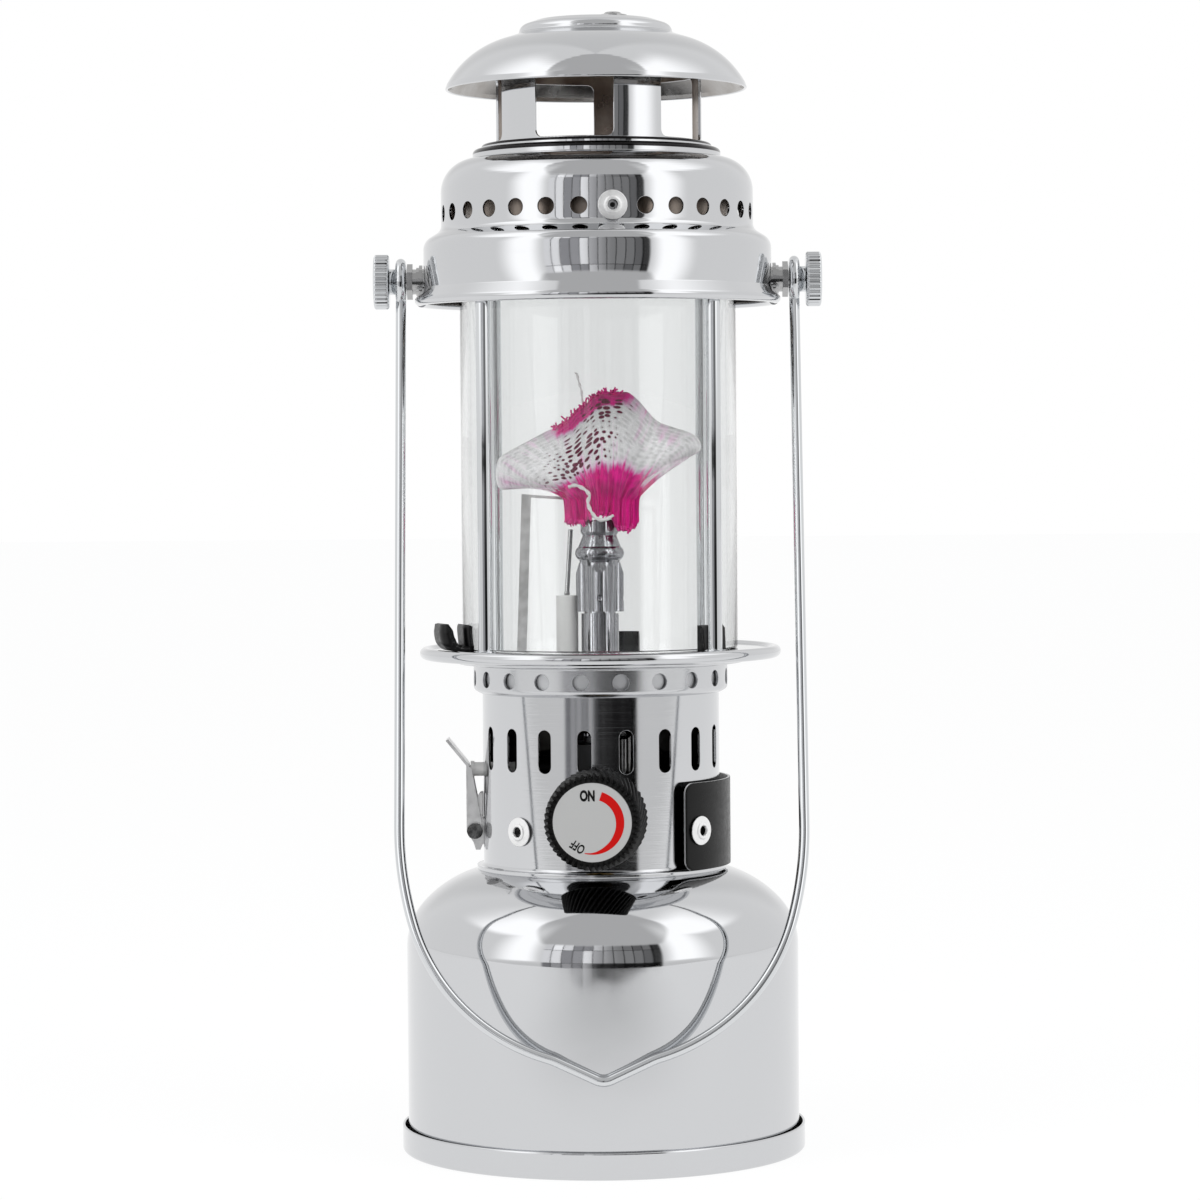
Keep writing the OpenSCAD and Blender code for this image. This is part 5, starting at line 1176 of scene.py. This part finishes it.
rings, weave, slack, dye = mantle_rings()
count = rings.shape[1]
index = np.arange(rings.size // 3).reshape(rings.shape[:2])
index[0] = index[0, 0]
mirror = np.where(np.arange(count) <= count // 2, np.arange(count), count - np.arange(count))
rings[-1] = rings[-1][mirror] * [1, 0, 1]
index[-1] = index[-1][mirror]
quads = sheet_of(index, wrap_columns=True).reshape(len(rings) - 1, count, 4)
faces = [quads[1:].reshape(-1, 4), quads[0][:, [0, 2, 3]]]
used = np.unique(np.concatenate([f.ravel() for f in faces]))
cloth = (rings.reshape(-1, 3), faces, None, None)
mantle = build("gas_mantle_looks", [cloth], (KNIT,), "lamp", ("gas_mantle",), shaded=False)
for name, kind, field, values in (
    ("weave", "FLOAT_VECTOR", "vector", weave), ("slack", "FLOAT", "value", slack),
    ("dye", "FLOAT", "value", dye),
):
    layer = mantle.data.attributes.new(name, kind, "POINT")
    values = values.reshape(len(rings) * count, -1)[used]
    layer.data.foreach_set(field, values.ravel().astype(np.float32))


def bent_strip(path, half, width, angle):
    """A strip bent along a path (radius, height), at an angle: half thick to each side, width across."""
    flat, _ = slopes(path, closed=False)
    outline = np.concatenate([path + flat * half[:, None], (path - flat * half[:, None])[::-1]])
    n, m = len(path), 2 * len(path)
    a = math.radians(angle)
    across = np.array([-width / 2, width / 2])[:, None, None]
    points = turned(outline[None, :, 0], outline[None, :, 1], a)
    points = points + across * np.array([math.cos(a), math.sin(a), 0])
    index = np.arange(2 * m).reshape(2, m)
    i = np.arange(n - 1)
    cap = np.stack([i, i + 1, m - 2 - i, m - 1 - i], -1)
    faces = [sheet_of(index, wrap_columns=True)[:, ::-1], cap, (cap + m)[:, ::-1]]
    return points.reshape(-1, 3), faces, None, None


def spline(points, n):
    """n points of a smooth curve through the given ones."""
    p = np.array(points, float)
    q = np.vstack([2 * p[0] - p[1], p, 2 * p[-1] - p[-2]])
    t = np.linspace(0, len(p) - 1 - 1e-9, n)
    i = t.astype(int)
    f = (t - i)[:, None]
    a, b, c, d = q[i], q[i + 1], q[i + 2], q[i + 3]
    return 0.5 * (2 * b + (c - a) * f + (2 * a - 5 * b + 4 * c - d) * f**2 + (3 * b - a - 3 * c + d) * f**3)


tie_turn = np.linspace(0, 2 * np.pi, 160, endpoint=False)
tie = np.stack([
    0.5 - 8.1 * np.cos(tie_turn), -6.5 * np.sin(tie_turn), HOLDER_TOP + 4.2 + 0.35 * np.sin(3 * tie_turn),
], 1)
loose = spline([
    (-8.6, -9.0, 193.0), (-8.0, -10.2, 193.3), (-6.5, -11.1, 193.4), (-4.9, -11.7, 192.7),
    (-3.5, -11.6, 191.7), (-2.8, -10.9, 190.4), (-3.3, -9.9, 188.8), (-2.9, -9.6, 187.2),
    (-2.0, -9.6, 185.6), (-0.9, -9.8, 184.3), (0.7, -10.0, 183.7), (2.4, -9.9, 184.1), (4.0, -9.6, 185.0),
], 220)
end = spline([
    (-4.7, -1.5, 216.6), (-4.9, -2.0, 219.5), (-5.6, -2.2, 222.0), (-6.2, -2.4, 224.3), (-6.7, -2.0, 224.7),
], 60)
build(
    "mantle_string_looks",
    [tube(tie, 0.42, 12, True, (0, 0, 1.0)), tube(loose, 0.45, 14, ply=0.28), tube(end, 0.3, 10, ply=0.28)],
    (THREAD,), "lamp", ("mantle_string",),
)


# Free clip at the left: a spring leaf against the glass and a cup shaped finger that flares out

CLIP_W, CLIP_A = 10, -70
clip = spline([(40.3, 0.9), (43.5, 0.95), (46.0, 1.6), (47.4, 3.6), (47.9, 6.0), (48.4, 8.0)], 30)
spring = spline([(40.9, 0.9), (41.3, 3.6), (41.5, 6.6), (41.2, 7.5)], 14)
cup = np.interp(np.linspace(0, 1, 30), [0, 0.2, 0.55, 0.8, 1], [0.75, 0.85, 1.5, 1.3, 0.45])
leaves = [
    bent_strip(path + [0, FLOOR_Z], half, CLIP_W, CLIP_A)
    for path, half in ((clip, cup), (spring, np.full(14, 0.65)))
]
build("glass_clip_1_looks", leaves, (OXIDE,), "lamp", ("glass_clip_1",), shaded=False)

# Loose yarn at the mantle's crumpled top and round its hem


def fringe(roots, headings, lengths, radius, seed, curl):
    """Loose yarn ends: each a thin tube from a root along its heading, curling in a small arc of its own."""
    chance = np.random.default_rng(seed)
    grids = []
    t = np.linspace(0, 1, 9)[:, None]
    for root, heading, length in zip(roots, headings, lengths):
        bend = chance.normal(0, curl, 3) * length
        path = root + heading * length * t + bend * t * t + chance.normal(0, 0.06, (9, 3))
        grids.append(tube(path, radius, 6, ref=(0.3, 1.0, 0.2)))
    return grids


random = np.random.default_rng(4)
n_top, n_hem = 210, 130
place = random.uniform(0, 1, n_top)
edge = spread_out(UPPER * [HALF, 1], 200)
edge = edge[(edge[:, 0] > -13.5) & (edge[:, 0] < 6.5)]
pick = edge[(place * (len(edge) - 1)).astype(int)]
roots = np.stack([pick[:, 0], random.uniform(-0.6, 0.4, n_top), HOLDER_TOP + pick[:, 1] - 0.5], 1)
lay = random.uniform(-0.7, 0.7, n_top)
headings = np.stack([
    0.85 * np.cos(lay) * np.sign(random.uniform(-1, 1, n_top)), random.uniform(-0.5, 0.3, n_top),
    0.25 + 0.5 * np.abs(np.sin(lay)),
], 1)
tufts = fringe(roots, headings, random.uniform(0.4, 1.1, n_top), 0.27, 5, 0.7)
turn = random.uniform(0.05, math.pi - 0.05, n_hem)
low = np.interp(-10.5 * np.cos(turn), *HEM.T)
roots = np.stack([0.5 - 9.8 * np.cos(turn), -7.9 * np.sin(turn), HOLDER_TOP + low + 0.7], 1)
headings = np.stack([random.normal(0, 0.18, n_hem), -0.15 * np.sin(turn), np.full(n_hem, -1.0)], 1)
tufts += fringe(roots, headings, random.uniform(0.6, 1.5, n_hem), 0.22, 6, 0.3)
fringe_piece = build("mantle_fringe", tufts, (DYED,), "lamp")

# Studio: pale floor and soft light

FLOOR_HALF, FRONT_EDGE, GLOW, GLOW_SHARE = 9, -0.52, 1.07, 0.84
floor_paint, tree, shader, coords = material("matt_white_floor", "#EDEDED", 0.0, 0.8)
rays = add(tree, "ShaderNodeLightPath").outputs
seen = rays["Is Camera Ray"]
for kind in ("Is Glossy Ray", "Is Transmission Ray"):
    seen = add(tree, "ShaderNodeMath", {0: seen, 1: rays[kind]}, operation="MAXIMUM").outputs["Value"]
# Painted shade on the floor, for mirror rays only: it darkens softly towards the camera, out of the picture
# but seen in the drum
spot = add(tree, "ShaderNodeSeparateXYZ", {"Vector": coords}).outputs
wide = add(tree, "ShaderNodeMath", {0: spot["X"]}, operation="ABSOLUTE").outputs["Value"]
dimmer = product(tree, (spot["Y"], -0.12, -0.42, 0, 1), (wide, 0.04, 0.34, 0.3, 0), rays["Is Glossy Ray"])
strength = add(tree, "ShaderNodeMath", {0: GLOW, 1: dimmer}, operation="SUBTRACT").outputs["Value"]
lit = add(tree, "ShaderNodeEmission", {"Color": (1, 1, 1, 1), "Strength": strength})
painted = add(tree, "ShaderNodeMixShader", {
    "Fac": product(tree, seen, GLOW_SHARE), 1: shader.outputs["BSDF"], 2: lit.outputs["Emission"],
})
# Past its front edge mirrors look through the floor at the surround; the camera sees it white everywhere
past = add(tree, "ShaderNodeMath", {0: spot["Y"], 1: FRONT_EDGE}, operation="LESS_THAN")
mirror = add(tree, "ShaderNodeMath", {0: rays["Glossy Depth"], 1: 0.5}, operation="GREATER_THAN")
add(tree, "ShaderNodeMixShader", {
    "Fac": product(tree, past.outputs["Value"], mirror.outputs["Value"]),
    1: painted.outputs["Shader"], 2: add(tree, "ShaderNodeBsdfTransparent").outputs["BSDF"],
}, tree.nodes["Material Output"].inputs["Surface"])
mesh = bpy.data.meshes.new("studio_floor")
corners = [(x * FLOOR_HALF, y * FLOOR_HALF, 0) for x, y in ((-1, -1), (1, -1), (1, 1), (-1, 1))]
mesh.from_pydata(corners, [], [[0, 1, 2, 3]])
mesh.materials.append(floor_paint)
floor = bpy.data.objects.new("studio_floor", mesh)
bpy.context.collection.objects.link(floor)

# The surround: white to the camera and through the glass; mirror finishes also see the soft
# boxes to both sides and the unlit room between them, by azimuth and elevation in radians

world = bpy.data.worlds.new("studio_surround")
bpy.context.scene.world = world
world.use_nodes = True
tree = world.node_tree
tree.nodes.clear()
direction = add(tree, "ShaderNodeTexCoord").outputs["Generated"]
apart = add(tree, "ShaderNodeSeparateXYZ", {"Vector": direction}).outputs
forward = add(tree, "ShaderNodeMath", {0: apart["Y"], 1: -1.0}, operation="MULTIPLY").outputs["Value"]
azimuth = add(tree, "ShaderNodeMath", {0: apart["X"], 1: forward}, operation="ARCTAN2").outputs["Value"]
sideways = add(tree, "ShaderNodeMath", {0: azimuth}, operation="ABSOLUTE").outputs["Value"]
elevation = add(tree, "ShaderNodeMath", {0: apart["Z"]}, operation="ARCSINE").outputs["Value"]
box = product(
    tree, (sideways, 0.6, 0.8, 0, 1), (sideways, 0.92, 1.25, 1, 0), (elevation, 0.75, 1.25, 1, 0),
    (elevation, 0.0, 0.05, 0, 1),
)
# Above the room a dimmer strip of ceiling widens towards the zenith, with a bright panel to each side
leaning = add(tree, "ShaderNodeMath", {0: elevation, 1: -0.65, 2: sideways}, operation="MULTIPLY_ADD")
leaning = leaning.outputs["Value"]
strip = product(tree, (leaning, 0.26, 0.36, 1, 0), (elevation, 0.47, 0.56, 0, 1))
panel = product(
    tree, (leaning, 0.28, 0.36, 0, 1), (sideways, 1.4, 2.3, 1, 0), (elevation, 0.6, 0.72, 0, 1),
    (elevation, 1.05, 1.3, 1, 0),
)
box = add(tree, "ShaderNodeMath", {0: box, 1: panel}, operation="MAXIMUM").outputs["Value"]
rear = product(tree, (sideways, 2.5, 2.8, 0, 1), (elevation, 0.1, 0.35, 0, 0.14))
ceiling = add(tree, "ShaderNodeMath", {0: strip, 1: -0.36, 2: 1.0}, operation="MULTIPLY_ADD").outputs["Value"]
ceiling = add(tree, "ShaderNodeMath", {0: ceiling, 1: rear}, operation="SUBTRACT").outputs["Value"]
bright = add(tree, "ShaderNodeMath", {0: box, 1: 0.66, 2: 0.93}, operation="MULTIPLY_ADD").outputs["Value"]
bright = product(tree, bright, ceiling, (elevation, -0.06, 0.03, 0.85, 1))
# Window panes of the room behind the camera, brighter to the left, and the dark under their sill
room = product(tree, (sideways, 0.59, 0.63, 1, 0), (elevation, 0.48, 0.56, 1, 0))
panes = add(tree, "ShaderNodeTexBrick", {
    "Vector": add(tree, "ShaderNodeCombineXYZ", {"X": azimuth, "Y": elevation}).outputs["Vector"],
    "Scale": 1.0, "Brick Width": 0.105, "Row Height": 0.37,
    "Mortar Size": 0.006, "Mortar Smooth": 0.3, "Bias": 0.0,
    "Color1": (0.75, 0.75, 0.76, 1), "Color2": (0.16, 0.16, 0.17, 1), "Mortar": (0.05, 0.05, 0.05, 1),
}, offset=0.0).outputs["Color"]
under = product(tree, (elevation, -0.03, 0.02, 1, 0), (azimuth, -0.3, 0.0, 0.25, 0.93))
above = add(tree, "ShaderNodeMath", {0: 1.0, 1: under}, operation="SUBTRACT").outputs["Value"]
falloff = product(tree, (azimuth, -0.3, 0.2, 1.75, 0.4), above, (azimuth, 0.5, 0.52, 1, 0.2))
dark = add(tree, "ShaderNodeVectorMath", {0: panes, "Scale": falloff}, operation="SCALE").outputs["Vector"]
open_white, unlit_room, fill, white = (
    add(tree, "ShaderNodeBackground", {"Color": colour, "Strength": strength}).outputs["Background"]
    for colour, strength in (
        ((1, 1, 1, 1), bright), (dark, 1.0), ((0.97, 0.985, 1.0, 1), 0.6), ((1, 1, 1, 1), 1.0),
    )
)
mirrored = add(tree, "ShaderNodeMixShader", {"Fac": room, 1: open_white, 2: unlit_room}).outputs["Shader"]
# A ray that left a metal face still sees the mirrored surround after it has crossed the glass
rays = add(tree, "ShaderNodeLightPath").outputs
from_metal = add(tree, "ShaderNodeMath", {0: rays["Glossy Depth"], 1: 0.5}, operation="GREATER_THAN")
crossed = product(tree, rays["Is Transmission Ray"], from_metal.outputs["Value"])
straight = add(tree, "ShaderNodeMath", {0: rays["Is Transmission Ray"], 1: crossed}, operation="SUBTRACT")
straight = straight.outputs["Value"]
seen = add(tree, "ShaderNodeMath", {0: rays["Is Camera Ray"], 1: straight}, operation="MAXIMUM")
glossy = add(tree, "ShaderNodeMath", {0: rays["Is Glossy Ray"], 1: crossed}, operation="MAXIMUM")
first = add(tree, "ShaderNodeMixShader", {"Fac": glossy.outputs["Value"], 1: fill, 2: mirrored})
surface = add(tree, "ShaderNodeOutputWorld").inputs["Surface"]
add(tree, "ShaderNodeMixShader", {
    "Fac": seen.outputs["Value"], 1: first.outputs["Shader"], 2: white,
}, surface)

AIM_Z = 0.2


def soft_box(name, azimuth, distance, height, width, tall, power):
    """An area light at an azimuth from the front, turned to a point of the glass, AIM_Z metres up."""
    lamp = bpy.data.lights.new(name, "AREA")
    lamp.shape = "RECTANGLE"
    lamp.size, lamp.size_y, lamp.energy = width, tall, power
    made = bpy.data.objects.new(name, lamp)
    bpy.context.collection.objects.link(made)
    a = math.radians(azimuth)
    made.location = (distance * math.sin(a), -distance * math.cos(a), height)
    aim = -made.location
    aim.z += AIM_Z
    made.rotation_euler = aim.to_track_quat("-Z", "Y").to_euler()
    made.visible_glossy = False


for name, azimuth in (("left_soft_box", -50), ("right_soft_box", 50)):
    soft_box(name, azimuth, distance=1.1, height=0.8, width=0.6, tall=1.4, power=4.3)

bpy.context.scene.view_settings.view_transform = "Standard"
